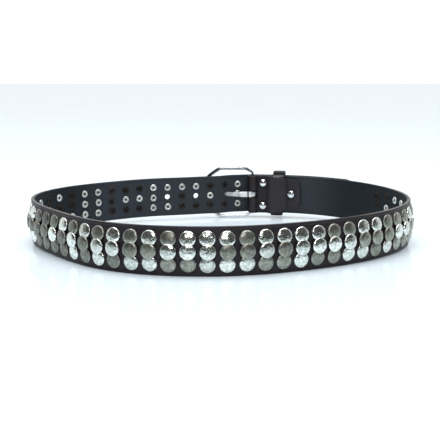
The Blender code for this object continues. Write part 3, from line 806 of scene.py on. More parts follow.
def buckle_painted_light(maker, place, inner, face, settings):
    """Painted light and shade at the buckle: a highlight over the fold, shade in its bend, its hollow and
    round the screws, and a sheen on the tab.
    """
    right, outward = maker.along_axes(place, strap_axes(0.0, HEEL_BAR_OFFSET))
    on_fold = maker.between(outward, *FOLD_DEPTH)
    # Painted highlight where the fold's curve would catch the side light
    fold_highlight = maker.times(on_fold, maker.between(right, *FOLD_HIGHLIGHT))
    face = maker.mix(fold_highlight, face, rgba(settings.fold_highlight_colour))
    # Painted shade in the fold's bend and in the hollow where the tab meets the strap
    turned = maker.times(maker.between(outward, *FOLD_BEND_DEPTH), maker.between(right, *FOLD_TURNED))
    shade = maker.plus(turned, maker.times(on_fold, maker.between(right, *FOLD_SUNK)))
    # Painted shade in a ring round each screw
    for _, run, height, _ in SCREW_PLACES:
        seat = strap_axes(run, 0.0) @ Matrix.Translation((0.0, TAB_OFFSET, height))
        reach = maker.vector_math("LENGTH", maker.vector_math("SUBTRACT", place, seat.translation))
        shade = maker.plus(shade, maker.span(reach, *SCREW_SHADE_RING, 0.8, 0.0))
    face = maker.mix(maker.times(shade, 0.6), face, rgba(PAINTED_SHADE_COLOUR))

    # Painted sheen over the tab's outer face
    worn = maker.times(
        maker.minus(1.0, inner),
        maker.between(right, *TAB_SHEEN_ALONG),
        maker.between(outward, *TAB_SHEEN_DEPTH),
        maker.between(maker.split(place)["Z"], *TAB_SHEEN_HEIGHT),
    )
    return maker.mix(worn, face, rgba(settings.tab_sheen_colour), "ADD")


def keeper_shade_and_wear(maker, place, face, settings):
    """Painted shade on the keeper's upper bend, and the rubbed strip below it, which is wear with a painted
    highlight.
    """
    along, outward = maker.along_axes(place, strap_axes(KEEPER_RUN, 0.0))
    height = maker.split(place)["Z"]
    on_keeper = maker.times(maker.between(outward, *KEEPER_DEPTH), maker.between(along, *KEEPER_ALONG))
    # Painted shade on the upper bend, which faces the overhead light
    upper_bend = maker.times(on_keeper, maker.span(height, *KEEPER_BEND_HEIGHT, 0.0, 0.75))
    face = maker.mix(upper_bend, face, rgba(settings.dark_edge_colour), "MULTIPLY")
    # The rubbed strip: wear with a painted highlight
    specks = maker.span(maker.noise(place, STRIP_SPECKS), 0.35, 0.6, 0.35, 1.0)
    strip = maker.times(on_keeper, maker.between(height, *KEEPER_STRIP_HEIGHT), specks)
    return maker.mix(strip, face, rgba(settings.wear_and_sheen_colour))


def leather_edges(maker, place, from_edge, face, settings):
    """The face with its cut edges, painted pale as a reflection of the backdrop at both sides of the front,
    and dark elsewhere.
    """
    x, y, _ = maker.split(place)
    edge = maker.span(from_edge, CUT_EDGE_SHARE * 0.8, CUT_EDGE_SHARE * 1.4, 1.0, 0.0)
    beside_edge = maker.between(from_edge, FACE_SPAN, FACE_SPAN + 0.002, 0.004)
    at_sides = maker.span(maker.math("ABSOLUTE", maker.minus(x, PALE_EDGE_MIDDLE)), *PALE_EDGE_FROM_MIDDLE)
    pale = maker.times(at_sides, maker.span(y, *PALE_EDGE_BACK, 1.0, 0.0))
    # Noise that breaks up the painted reflection on the edges
    edge_mottle = maker.grey(maker.span(maker.noise(place, EDGE_MOTTLE, 3.0), 0.3, 0.75, 0.45, 1.1))
    pale_edge = maker.mix(1.0, rgba(settings.edge_reflection_colour), edge_mottle, "MULTIPLY")
    cut = maker.mix(pale, rgba(settings.dark_edge_colour), pale_edge)
    # Patches of the painted reflection on the face beside the pale edges
    patches = maker.span(maker.noise(place, EDGE_PATCHES, 3.0), 0.42, 0.70, 0.0, 0.35)
    rubbed = maker.times(beside_edge, patches, pale)
    return maker.mix(edge, maker.mix(rubbed, face, rgba(settings.edge_reflection_colour)), cut)


def steel_finish(name, colour, roughness, dents):
    """Polished steel with faint dents, hairlines and a little haze."""
    made, maker, shader, place = new_material(name)
    haze = maker.noise(place, STEEL_HAZE, 4.0, 0.6)
    streaks = maker.noise(maker.vector_math("MULTIPLY", place, (1.0, 1.0, 9.0)), STEEL_STREAKS, 3.0, 0.7)
    dull = [channel * 0.78 for channel in colour]
    steel = maker.mix(maker.span(haze, 0.35, 0.8), rgba(colour), rgba(dull))
    rough = maker.span(streaks, 0.3, 0.8, roughness * 0.7, roughness * 1.6)
    relief = maker.plus(maker.noise(place, STEEL_DENTS), maker.times(streaks, 0.06))
    maker.dress(shader, steel, rough, relief, dents)
    shader.inputs["Metallic"].default_value = 1.0
    return made


def tint_metal(made, *shares):
    """Multiplies a finish's colour by shares, each made by a function of the maker and the place."""
    maker = NodeMaker(made.node_tree)
    shader = made.node_tree.nodes["Principled BSDF"]
    place = maker.add("ShaderNodeTexCoord").outputs["Object"]
    colour = shader.inputs["Base Color"].links[0].from_socket
    for share in shares:
        colour = maker.mix(1.0, colour, maker.grey(share(maker, place)), "MULTIPLY")
    maker.feed(shader.inputs["Base Color"], colour)
    return made


def rail_painted_reflections(maker, place):
    """Painted dark reflections along the rail's edges, the inner one darker, faint in the rail's lower half.
    """
    across = maker.attribute("rail_across")
    inside = maker.span(across, *RAIL_INNER_LINE, 0.03, 1.0)
    outside = maker.span(across, *RAIL_OUTER_LINE, 1.0, 0.55)
    lined = maker.minus(1.0, maker.times(inside, outside))
    return maker.minus(1.0, maker.times(lined, on_upper_half(maker, place)))


def on_upper_half(maker, place):
    return maker.span(maker.split(place)["Z"], *UPPER_HALF, 0.12, 1.0)


def slope_painted_shade(maker, place):
    """Painted shade on the stretches where the rail slopes, most of all in its upper half."""
    right, _ = maker.along_axes(place, buckle_axes())
    left_slope = maker.times(maker.between(right, *LEFT_SLOPE), 0.72)
    right_slope = maker.times(maker.between(right, *RIGHT_SLOPE), 0.45)
    # Painted shade on the rail's slopes
    slope_shade = maker.times(maker.plus(left_slope, right_slope), on_upper_half(maker, place))
    return maker.minus(1.0, slope_shade)


def prong_painted_shade(maker, place):
    """Painted reflection of the dark leather in grey bands across the prong's thinner stretch, and painted
    shade in its groove and at its waist.
    """
    right, _ = maker.along_axes(place, buckle_axes())
    bands = maker.noise(maker.vector_math("MULTIPLY", place, (5.0, 1.0, 0.3)), PRONG_BANDS)
    thin = maker.span(right, *PRONG_THIN_TO, 1.0, 0.0)
    thin_stretch_reflection = maker.times(thin, maker.span(bands, 0.30, 0.70, 0.10, 0.34))
    groove = maker.times(maker.between(right, *PRONG_GROOVE), 0.92)
    waist = maker.times(maker.between(right, *PRONG_WAIST), 0.45)
    return maker.minus(1.0, maker.plus(thin_stretch_reflection, maker.plus(groove, waist)))


def left_end_painted_shade(maker, place):
    """Painted shade on the gunmetal studs towards the belt's left end."""
    return maker.span(maker.split(place)["X"], *DARKER_END, 0.55, 1.0)


def stud_finish(name, colour, low_colour, rim_colour, roughness, dents, scratches):
    """Stud metal: each stud has its own tone, darker in its hollows and rubbed at its rim."""
    made, maker, shader, place = new_material(name)
    hollows = maker.noise(place, STUD_HOLLOWS, 4.0, 0.6)
    fine = maker.noise(place, STUD_SCRATCHES, 3.0, 0.65)
    face = maker.mix(maker.span(hollows, 0.38, 0.68), rgba(low_colour), rgba(colour))
    tone = maker.grey(maker.span(maker.attribute("stud_tone"), 0.0, 1.0, 0.80, 1.15, smooth=False))
    face = maker.mix(1.0, face, tone, "MULTIPLY")
    at_rim = maker.span(maker.attribute("stud_radial"), 0.80, 0.95)
    rim = maker.times(at_rim, maker.span(fine, 0.3, 0.65, 0.0, 0.8))
    rough = maker.span(fine, 0.3, 0.75, roughness * 0.75, roughness * 1.4)
    relief = maker.plus(maker.noise(place, STUD_LUMPS, 1.5), maker.times(fine, scratches))
    maker.dress(shader, maker.mix(rim, face, rgba(rim_colour)), rough, relief, dents)
    shader.inputs["Metallic"].default_value = 1.0
    return made


def well_finish(name, colour):
    """The bottom of a hollow rivet, painted dark for the shade in its hollow, with mottled dirt."""
    made, maker, shader, place = new_material(name)
    dirt = maker.grey(maker.span(maker.noise(place, WELL_DIRT, 3.0), 0.3, 0.7, 0.5, 1.3))
    maker.feed(shader.inputs["Base Color"], maker.mix(1.0, rgba(colour), dirt, "MULTIPLY"))
    shader.inputs["Roughness"].default_value = 0.6
    shader.inputs["Specular IOR Level"].default_value = 0.2
    return made


def new_tree(name, sizes, counts=("Sides", "Seed")):
    """A Geometry Nodes tree with a metal, named sizes and counts, its maker and its group sockets."""
    tree = bpy.data.node_groups.new(name, "GeometryNodeTree")
    tree.interface.new_socket("Geometry", in_out="OUTPUT", socket_type="NodeSocketGeometry")
    kinds = {"Geometry": "NodeSocketGeometry", "Metal": "NodeSocketMaterial"}
    kinds.update(dict.fromkeys(counts, "NodeSocketInt"))
    kinds.update(dict.fromkeys(sizes, "NodeSocketFloat"))
    for socket_name, kind in kinds.items():
        tree.interface.new_socket(socket_name, in_out="INPUT", socket_type=kind)
    maker = NodeMaker(tree)
    return tree, maker, maker.add("NodeGroupInput").outputs, maker.add("NodeGroupOutput").inputs


def run_tree(name, data, tree, values):
    """The plain mesh that a tree makes from a mesh or curve and its named values."""
    carrier = new_object(name, data)
    modifier = carrier.modifiers.new(tree.name, "NODES")
    modifier.node_group = tree
    for item in tree.interface.items_tree:
        if item.in_out == "INPUT" and item.name in values:
            modifier[item.identifier] = values[item.name]
    made = evaluated_mesh(carrier, name)
    discard(carrier)
    return made


def domed_cap(maker, sides, radius, base, rim, crown, shoulder):
    """Nodes for a closed round cap from base up to rim, with a soft shoulder and a low crown.

    A sphere's upper half becomes the crown, and its lower half the wall and the underside.
    """
    ball = maker.add("GeometryNodeMeshUVSphere", {"Segments": sides, "Rings": 10, "Radius": 1.0})
    x, y, z = maker.split(maker.position())
    flat = maker.vector(x, y)
    radial = maker.vector_math("LENGTH", flat)
    below = maker.math("LESS_THAN", z, -0.01)
    spread = maker.plus(1.0, maker.times(below, 0.5))
    reach = maker.math("MINIMUM", 1.0, maker.times(radial, spread))
    dome = maker.times(crown, maker.minus(1.0, maker.math("POWER", radial, 2.0)))
    fallen = maker.minus(1.0, maker.math("POWER", radial, 8.0))
    ease = maker.math("SQRT", maker.math("MAXIMUM", 0.0, fallen))
    top = maker.plus(rim, maker.plus(dome, maker.times(shoulder, ease)))
    down = maker.math("MINIMUM", 1.0, maker.times(z, -1.5))
    wall = maker.plus(rim, maker.times(down, maker.minus(base, rim)))
    rise = maker.plus(top, maker.times(below, maker.minus(wall, top)))
    out = maker.scaled(maker.vector_math("NORMALIZE", flat), maker.times(reach, radius))
    place = maker.vector_math("ADD", out, maker.vector(z=rise))
    marked = maker.stored(ball.outputs["Mesh"], "stud_radial", maker.plus(reach, below))
    return maker.add("GeometryNodeSetPosition", {"Geometry": marked, "Position": place}).outputs[0]


def seats_mesh(name, seats):
    """Points with the turn that stands an instance on each, from matrices whose Z is outwards."""
    mesh = bpy.data.meshes.new(name)
    mesh.from_pydata([seat.translation for seat in seats], [], [])
    turns = mesh.attributes.new("turn", "FLOAT_VECTOR", "POINT")
    angles = np.array([seat.to_euler() for seat in seats], dtype=np.float32)
    turns.data.foreach_set("vector", angles.ravel())
    return mesh


def placed_copies(maker, given, shape, wobble, shift):
    """Nodes that stand a shape on every point, each a little turned, leant and shifted."""
    seed = given["Seed"]
    tone = maker.add("FunctionNodeRandomValue", {"Min": 0.0, "Max": 1.0, "Seed": seed}, data_type="FLOAT")
    toned = maker.stored(given["Geometry"], "stud_tone", tone.outputs["Value"])
    turn = maker.add("GeometryNodeInputNamedAttribute", {"Name": "turn"}, data_type="FLOAT_VECTOR")
    rotation = maker.add("FunctionNodeEulerToRotation", {0: turn.outputs["Attribute"]}).outputs[0]
    inputs = {"Points": toned, "Instance": shape, "Rotation": rotation}
    copies = maker.add("GeometryNodeInstanceOnPoints", inputs).outputs[0]
    lean = random_vector(maker, wobble, maker.plus(seed, 1.0), LEAN_WEIGHTS)
    inputs = {"Instances": copies, "Rotation": lean, "Local Space": True}
    leant = maker.add("GeometryNodeRotateInstances", inputs).outputs[0]
    slip = random_vector(maker, shift, maker.plus(seed, 2.0), SHIFT_WEIGHTS)
    inputs = {"Instances": leant, "Translation": slip, "Local Space": True}
    moved = maker.add("GeometryNodeTranslateInstances", inputs).outputs[0]
    return maker.add("GeometryNodeRealizeInstances", {0: moved}).outputs[0]


def random_vector(maker, size, seed, weights):
    inputs = {0: (-1.0, -1.0, -1.0), 1: (1.0, 1.0, 1.0), "Seed": seed}
    node = maker.add("FunctionNodeRandomValue", inputs, data_type="FLOAT_VECTOR")
    return maker.scaled(maker.vector_math("MULTIPLY", node.outputs[0], weights), size)


def close_tree(maker, geometry, given, output):
    """Shades a tree's geometry smooth, gives it the metal and puts it out."""
    smooth = maker.add("GeometryNodeSetShadeSmooth", {"Geometry": geometry}).outputs[0]
    inputs = {"Geometry": smooth, "Material": given["Metal"]}
    maker.feed(output[0], maker.add("GeometryNodeSetMaterial", inputs).outputs[0])


CAP_SIZES = ["Radius", "Base", "Rim", "Crown", "Shoulder"]
LOOSENESS = ["Wobble", "Shift"]


def stud_tree():
    """Domed caps on seats, dented over their crowns."""
    tree, maker, given, output = new_tree("stud caps", CAP_SIZES + LOOSENESS + ["Dents"])
    cap = domed_cap(maker, given["Sides"], *(given[name] for name in CAP_SIZES))
    caps = placed_copies(maker, given, cap, given["Wobble"], given["Shift"])
    lumps = maker.minus(maker.noise(maker.position(), CAP_DENTS, 1.0), 0.5)
    normal = maker.add("GeometryNodeInputNormal").outputs[0]
    push = maker.scaled(normal, maker.times(lumps, given["Dents"]))
    dented = maker.add("GeometryNodeSetPosition", {"Geometry": caps, "Offset": push}).outputs[0]
    close_tree(maker, dented, given, output)
    return tree


def rivet_tree():
    """Hollow rivet heads: a rolled ring with a dark well."""
    tree, maker, given, output = new_tree("rivet backs", ["Radius", "Well", "Rise"] + LOOSENESS)
    middle = maker.times(maker.plus(given["Radius"], given["Well"]), 0.5)
    half = maker.times(maker.minus(given["Radius"], given["Well"]), 0.5)
    circle = maker.add("GeometryNodeCurvePrimitiveCircle", {"Resolution": given["Sides"], "Radius": middle})
    wire = maker.add("GeometryNodeCurvePrimitiveCircle", {"Resolution": 10, "Radius": 1.0})
    size = maker.vector(half, given["Rise"], 1.0)
    oval = maker.add("GeometryNodeTransform", {"Geometry": wire.outputs[0], "Scale": size}).outputs[0]
    inputs = {"Curve": circle.outputs[0], "Profile Curve": oval}
    ring = maker.add("GeometryNodeCurveToMesh", inputs).outputs[0]
    rings = placed_copies(maker, given, ring, given["Wobble"], given["Shift"])
    close_tree(maker, rings, given, output)
    return tree


def well_tree():
    """The bottoms of the hollow rivets: thin discs."""
    tree, maker, given, output = new_tree("rivet wells", ["Radius", "Rise"] + LOOSENESS)
    depth = maker.times(given["Rise"], 2.0)
    inputs = {"Vertices": given["Sides"], "Radius": given["Radius"], "Depth": depth}
    disc = maker.add("GeometryNodeMeshCylinder", inputs).outputs["Mesh"]
    discs = placed_copies(maker, given, disc, given["Wobble"], given["Shift"])
    close_tree(maker, discs, given, output)
    return tree


def screw_tree():
    """A domed head with a straight slot across it."""
    tree, maker, given, output = new_tree("slotted screw", CAP_SIZES + ["Slot Width", "Slot Depth"])
    head = domed_cap(maker, given["Sides"], *(given[name] for name in CAP_SIZES))
    top = maker.plus(given["Rim"], maker.plus(given["Crown"], given["Shoulder"]))
    length, depth = maker.times(given["Radius"], 3.0), maker.times(given["Slot Depth"], 2.0)
    inputs = {"Size": maker.vector(length, given["Slot Width"], depth)}
    bar = maker.add("GeometryNodeMeshCube", inputs).outputs["Mesh"]
    inputs = {"Geometry": bar, "Translation": maker.vector(z=top)}
    raised = maker.add("GeometryNodeTransform", inputs).outputs[0]
    cut = maker.add("GeometryNodeMeshBoolean", {0: head, 1: raised}, operation="DIFFERENCE", solver="EXACT")
    heads = placed_copies(maker, given, cut.outputs[0], 0.0, 0.0)
    close_tree(maker, heads, given, output)
    return tree


def rail_tree():
    """A rail of rounded section along a closed curve, whose radius scales the section."""
    tree, maker, given, output = new_tree("buckle rail", ["Width", "Thickness", "Edge Radius"], ())
    inputs = {"Width": given["Width"], "Height": given["Thickness"]}
    box = maker.add("GeometryNodeCurvePrimitiveQuadrilateral", inputs).outputs[0]
    inputs = {"Curve": box, "Radius": given["Edge Radius"], "Count": 4}
    soft = maker.add("GeometryNodeFilletCurve", inputs, mode="POLY").outputs[0]
    doubled = maker.times(maker.split(maker.position())["X"], 2.0)
    profile = maker.stored(soft, "rail_across", maker.math("DIVIDE", doubled, given["Width"]))
    radius = maker.add("GeometryNodeInputRadius").outputs[0]
    inputs = {"Curve": given["Geometry"], "Profile Curve": profile, "Scale": radius}
    close_tree(maker, maker.add("GeometryNodeCurveToMesh", inputs).outputs[0], given, output)
    return tree


def stud_seat(column, height, lean_deg, side=1):
    """Where a stud or a rivet's back sits: Z points off the leather, on the outer or inner side."""
    axes = strap_axes(column_run(column)) @ Matrix.Translation((0.0, 0.0, height))
    lean = Matrix.Rotation(math.radians(lean_deg), 4, "X")
    facing = Matrix.Rotation(-math.pi / 2 * side, 4, "X")
    off = bpy.context.scene.belt_strap.thickness / 2
    return axes @ Matrix.Translation((0.0, side * off, 0.0)) @ lean @ facing


def chart_columns(row, letter):
    return [column for column, finishes in enumerate(STUD_CHART) if finishes[row] == letter]


def add_cylinder(shape, axes, radius, length, sides):
    """A round cutter along the axes' Y, flared a little at both ends to soften a hole's rims."""
    stretch = length / 2 - HOLE_FLARE_LENGTH
    end, wide = length / 2 + HOLE_FLARE, radius + 2 * HOLE_FLARE
    profile = [(0.0, -end), (wide, -end), (radius, -stretch), (radius, stretch), (wide, end), (0.0, end)]
    rings = []
    for reach, along in profile:
        ring = []
        for i in range(sides if reach else 1):
            angle = math.tau * i / sides
            spot = Vector((reach * math.cos(angle), along, reach * math.sin(angle)))
            ring.append(shape.verts.new(axes @ spot))
        rings.append(ring)
    for first, second in zip(rings, rings[1:]):
        for i in range(sides):
            j = (i + 1) % sides
            corners = [first[i % len(first)], first[j % len(first)]]
            corners += [second[j % len(second)], second[i % len(second)]]
            shape.faces.new(list(dict.fromkeys(corners)))


def add_prism(shape, axes, outline, length):
    """A closed outline in the axes' XY plane, drawn out evenly to both sides of it."""
    corners = [shape.verts.new(axes @ Vector((x, y, -length / 2))) for x, y in outline]
    made = bmesh.ops.extrude_face_region(shape, geom=[shape.faces.new(corners)])
    lifted = [item for item in made["geom"] if isinstance(item, bmesh.types.BMVert)]
    bmesh.ops.translate(shape, verts=lifted, vec=axes.to_3x3() @ Vector((0.0, 0.0, length)))


def arc_points(x, y, radius, first_deg, last_deg, steps):
    angles = [math.radians(first_deg + (last_deg - first_deg) * i / steps) for i in range(steps + 1)]
    return [(x + radius * math.cos(a), y + radius * math.sin(a)) for a in angles]


def hole_cutters(thickness):
    """Cutters for the adjusting holes, the prong's worn hole and its slot in the fold."""
    shape = bmesh.new()
    for column in HOLE_COLUMNS:
        axes = strap_axes(column_run(column))
        if column == PRONG_COLUMN:
            length, shift, radius = WORN_HOLE
            end = length / 2 - radius
            outline = arc_points(end + shift, 0.0, radius, -90, 90, WORN_HOLE_STEPS)
            outline += arc_points(-end + shift, 0.0, radius, 90, 270, WORN_HOLE_STEPS)
            add_prism(shape, axes @ Matrix.Rotation(math.pi / 2, 4, "X"), outline, 2 * thickness)
        else:
            add_cylinder(shape, axes, HOLE_RADIUS, thickness, HOLE_SIDES)
    right, radius, height = PRONG_SLOT
    outline = [(right, -radius), (right, radius)] + arc_points(0.0, 0.0, radius, 90, 270, SLOT_STEPS)
    add_prism(shape, strap_axes(0.0, HEEL_BAR_OFFSET), outline, height)
    bmesh.ops.recalc_face_normals(shape, faces=shape.faces[:])
    mesh = bpy.data.meshes.new("holes")
    shape.to_mesh(mesh)
    shape.free()
    mesh.uv_layers.new(name="along_and_across")
    return mesh


def strap_stops(width, thickness):
    """The strap's whole way as stops for a sweep, from the tongue's tip to the tab's end."""
    path = thread(strap_rows(width, thickness), STRAP_STEP)
    ahead = np.gradient(path[:, :2], axis=0)
    ahead /= np.hypot(*ahead.T)[:, None]
    stops = []
    for (x, y, half, thick, raised), (along_x, along_y) in zip(path, ahead):
        centre = Vector((x + POLE.x, y + POLE.y, float(lift(y)) + width / 2 + raised))
        stops.append((centre, Vector((along_y, -along_x, 0.0)), Vector((0.0, 0.0, 1.0)), thick, half))
    return rounded_end(rounded_end(stops, STRAP_END_RADIUS, True), STRAP_END_RADIUS, False)


def prong_stops(width, thickness):
    """The prong's way in the buckle's axes: its tip, its crank and its curl round the heel bar."""
    middle = PRONG_RING_RADIUS + thickness / 2
    starts, ends = PRONG_RISE_RUN
    rows = []
    bar = np.linspace(PRONG_LENGTH - PRONG_END_RADIUS, ends, PRONG_BAR_STEPS)
    crank = np.linspace(ends, starts, PRONG_CRANK_STEPS)[1:]
    root = np.linspace(starts, 0.0, PRONG_ROOT_STEPS)[1:-1]
    root_starts, root_ends = PRONG_ROOT_RUN
    for reach in np.concatenate([bar, crank, root]):
        rise = PRONG_RISE * smooth_step((reach - starts) / (ends - starts))
        narrowed = smooth_step((reach - PRONG_TAPER_STARTS) / (PRONG_LENGTH - PRONG_TAPER_STARTS))
        widened = PRONG_ROOT_EXTRA * smooth_step((root_ends - reach) / (root_ends - root_starts))
        groove = max(0.0, 1.0 - abs(reach - PRONG_GROOVE_REACH) / PRONG_GROOVE_WIDTH)
        wide = width * (1.0 - PRONG_TAPER * narrowed**2) + widened - PRONG_GROOVE_DEPTH * groove
        thick = thickness * (1.0 - PRONG_GROOVE_THINNER * groove)
        rows.append((-reach, rise - middle, wide, thick))
    first, last = PRONG_CURL_DEG
    for degrees in np.arange(first, last + 0.1, PRONG_CURL_STEP_DEG):
        angle = math.radians(degrees)
        rows.append((middle * math.cos(angle), middle * math.sin(angle), PRONG_RING_WIDTH, thickness))
    axes = buckle_axes()
    places = np.array(rows)
    ahead = np.gradient(places[:, :2], axis=0)
    ahead /= np.hypot(*ahead.T)[:, None]
    stops = []
    for (x, y, wide, thick), (along_x, along_y) in zip(rows, ahead):
        outward = axes.to_3x3() @ Vector((along_y, -along_x, 0.0))
        stops.append((axes @ Vector((x, y, 0.0)), outward, Vector((0.0, 0.0, 1.0)), thick, wide / 2))
    return rounded_end(rounded_end(stops, PRONG_END_RADIUS, True), PRONG_RING_END_RADIUS, False)


def rail_curve():
    """The middle of the buckle's rail, closed, in its own plane, with its thickness as radius."""
    upper = []
    for rows in (FRAME_HEEL_CORNER, FRAME_END):
        upper += [tuple(row) for row in thread(rows, RAIL_STEP)]
    outline = upper[:-1] + [FRAME_END[-1]] + [(x, -z, share) for x, z, share in reversed(upper[:-1])]
    curve = bpy.data.curves.new("rail", "CURVE")
    curve.dimensions = "2D"
    curve.fill_mode = "NONE"
    spline = curve.splines.new("POLY")
    spline.points.add(len(outline) - 1)
    for point, (x, y, share) in zip(spline.points, outline):
        point.co = (x, y, 0.0, 1.0)
        point.radius = share
    spline.use_cyclic_u = True
    return curve


def colour_property(name, description, default):
    return bpy.props.FloatVectorProperty(
        name=name, description=description, default=default, size=3, subtype="COLOR", min=0.0, max=1.0
    )


def number_property(name, description, default, **limits):
    return bpy.props.FloatProperty(name=name, description=description, default=default, **limits)


def length_property(name, description, default):
    return number_property(name, description, default, unit="LENGTH", precision=5)


def angle_property(name, description, default):
    return number_property(name, description, default, subtype="ANGLE")


class BeltStrapSettings(bpy.types.PropertyGroup):
    """Sizes and colours of the leather"""

    width: length_property("Width", "Height of the strap as the belt stands on its edge", STRAP_WIDTH)
    thickness: length_property("Thickness", "Thickness of the studded strap", 0.0036)
    crease_depth: length_property("Crease Depth", "Depth of the pressed line beside each edge", 0.00025)
    keeper_width: length_property("Keeper Width", "Width of the keeper along the belt", 0.0123)
    keeper_thickness: length_property("Keeper Thickness", "Thickness of the keeper's leather", 0.0020)
    outer_colour: colour_property("Outer Colour", "Finished side of the leather", (0.026, 0.0215, 0.0245))
    inner_colour: colour_property("Inner Colour", "Waist side of the leather", (0.0115, 0.0155, 0.0200))
    # Painted sheen on the waist side near the buckle
    inner_sheen_colour: colour_property("Paler Colour", "Waist side where it is paler", (0.035, 0.042, 0.0505))
    # Painted sheen added over the tab
    tab_sheen_colour: colour_property("Tab Colour", "Added where the tab is worn", (0.012, 0.012, 0.0155))
    faded_colour: colour_property("Faded Colour", "Added where the leather has faded", (0.004, 0.004, 0.0045))
    # Painted reflection of the backdrop on the cut edges at both sides of the front
    edge_reflection_colour: colour_property("Edge Colour", "Cut edges that are rubbed pale", (0.20, 0.185, 0.18))
    dark_edge_colour: colour_property("Dark Edge Colour", "Cut edges that stay dark", (0.013, 0.0125, 0.0135))
    # Painted highlight on the fold's curve
    fold_highlight_colour: colour_property("Stretched Colour", "Leather over the fold", (0.038, 0.028, 0.030))
    # Wear with a painted highlight on the keeper's strip
    wear_and_sheen_colour: colour_property("Rubbed Colour", "Rubbed strip on the keeper", (0.30, 0.29, 0.29))


class BeltStudSettings(bpy.types.PropertyGroup):
    """Sizes and colours of the studs and their rivets"""

    radius: length_property("Radius", "Radius of a stud's cap", 0.0065)
    crown: length_property("Crown", "Rise of the cap's crown over its shoulder", 0.00085)
    shoulder: length_property("Shoulder", "Height of the cap's rounded shoulder", 0.0006)
    dents: length_property("Dents", "Depth of the dents in the caps", 0.00022)
    wobble: angle_property("Wobble", "How far a cap leans from its row", 0.035)
    shift: length_property("Shift", "How far a cap is off its place", 0.0003)
    rivet_radius: length_property("Rivet Radius", "Radius of a rivet's back", 0.0036)
    rivet_well: length_property("Rivet Well", "Radius of the hollow in a rivet's back", 0.0013)
    sides: bpy.props.IntProperty(name="Sides", description="Sides of a cap", default=24, min=8, max=48)
    seed: bpy.props.IntProperty(name="Seed", description="Seed of the irregular placing", default=7)
    silver: colour_property("Silver", "Bright stud metal", (0.94, 0.95, 0.92))
    gunmetal: colour_property("Gunmetal", "Dark antique stud metal", (0.40, 0.41, 0.35))


class BeltBuckleSettings(bpy.types.PropertyGroup):
    """Sizes and colours of the buckle and its screws"""

    height: length_property("Height", "Height of the buckle's frame", round(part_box("buckle_frame")[1].z, 4))
    rail: length_property("Rail", "Width of the frame's rail", 0.0034)
    rail_thickness: length_property("Rail Thickness", "Thickness of the frame's rail", 0.0032)
    prong_width: length_property("Prong Width", "Width of the prong", 0.0045)
    prong_thickness: length_property("Prong Thickness", "Thickness of the prong", 0.0019)
    screw_radius: length_property("Screw Radius", "Radius of a screw's head", 0.0040)
    screw_slot: length_property("Screw Slot", "Width of a screw's slot", 0.0009)
    steel: colour_property("Steel", "Polished steel", (0.83, 0.84, 0.85))


class BeltStageSettings(bpy.types.PropertyGroup):
    """The floor, the light and the camera"""

    floor_colour: colour_property("Floor Colour", "Pale glossy floor", (0.765, 0.86, 0.925))
    floor_roughness: number_property("Floor Roughness", "Blur of the floor's reflections", 0.16)
    camera_distance: length_property("Camera Distance", "How far in front the camera stands", 0.8173)
    camera_height: length_property("Camera Height", "Height of the camera", 0.1697)
    camera_pitch: angle_property("Camera Pitch", "How far the camera looks down", math.radians(10.58))
    backdrop: number_property("Backdrop", "Brightness of the white backdrop", 0.92)
    studio: number_property("Studio", "Brightness of the dark side of the studio", 0.10)
    ceiling: number_property("Ceiling", "Brightness overhead", 1.3)
    key_power: number_property("Key Power", "Power of the softbox in front, in watts", 3.9)
    overhead_power: number_property("Overhead Power", "Power of the softbox above, in watts", 18.0)


class BELT_OT_strap(bpy.types.Operator):
    """Build the leather strap with its tongue, fold, tab and holes"""

    bl_idname = "belt.strap"
    bl_label = "Strap"

    def execute(self, context):
        size = context.scene.belt_strap
        stops = strap_stops(size.width, size.thickness)
        mesh = sweep("strap_leather", stops, False, STRAP_EDGE_RADIUS, size.crease_depth)
        mesh = cut_away(mesh, hole_cutters(size.thickness))
        finish_piece("strap_leather", mesh, leather_material(context), ["strap"])
        return {"FINISHED"}


class BELT_OT_keeper(bpy.types.Operator):
    """Build the keeper round the strap and the tongue"""

    bl_idname = "belt.keeper"
    bl_label = "Keeper"

    def execute(self, context):
        size = context.scene.belt_strap
        left, right, low, high = KEEPER_BOX
        near, far = left + KEEPER_CORNER, right - KEEPER_CORNER
        bottom, top = low + KEEPER_CORNER, high - KEEPER_CORNER
        ring = []
        for turn_deg, y, z in ((0, far, top), (90, near, top), (180, near, bottom), (270, far, bottom)):
            ring += arc_points(y, z, KEEPER_CORNER, turn_deg, turn_deg + 90, KEEPER_CORNER_STEPS)
        rows = thread(ring + [ring[0]], KEEPER_STEP)[:-1]
        ahead = np.roll(rows, -1, axis=0) - np.roll(rows, 1, axis=0)
        ahead /= np.hypot(*ahead.T)[:, None]
        axes = strap_axes(KEEPER_RUN, 0.0)
        turn = axes.to_3x3()
        stops = []
        for (y, z), (along_y, along_z) in zip(rows, ahead):
            centre = axes @ Vector((z * KEEPER_LEAN, y, z))
            outward = turn @ Vector((0.0, along_z, -along_y))
            upward = turn @ Vector((1.0, 0.0, 0.0))
            stops.append((centre, outward, upward, size.keeper_thickness, size.keeper_width / 2))
        crease_depth = size.crease_depth * KEEPER_CREASE_SHARE
        mesh = sweep("keeper_leather", stops, True, KEEPER_EDGE_RADIUS, crease_depth)
        finish_piece("keeper_leather", mesh, leather_material(context), ["keeper"])
        return {"FINISHED"}


def leather_material(context):
    made = bpy.data.materials.get("dark leather")
    return made or leather_finish(context.scene.belt_strap)


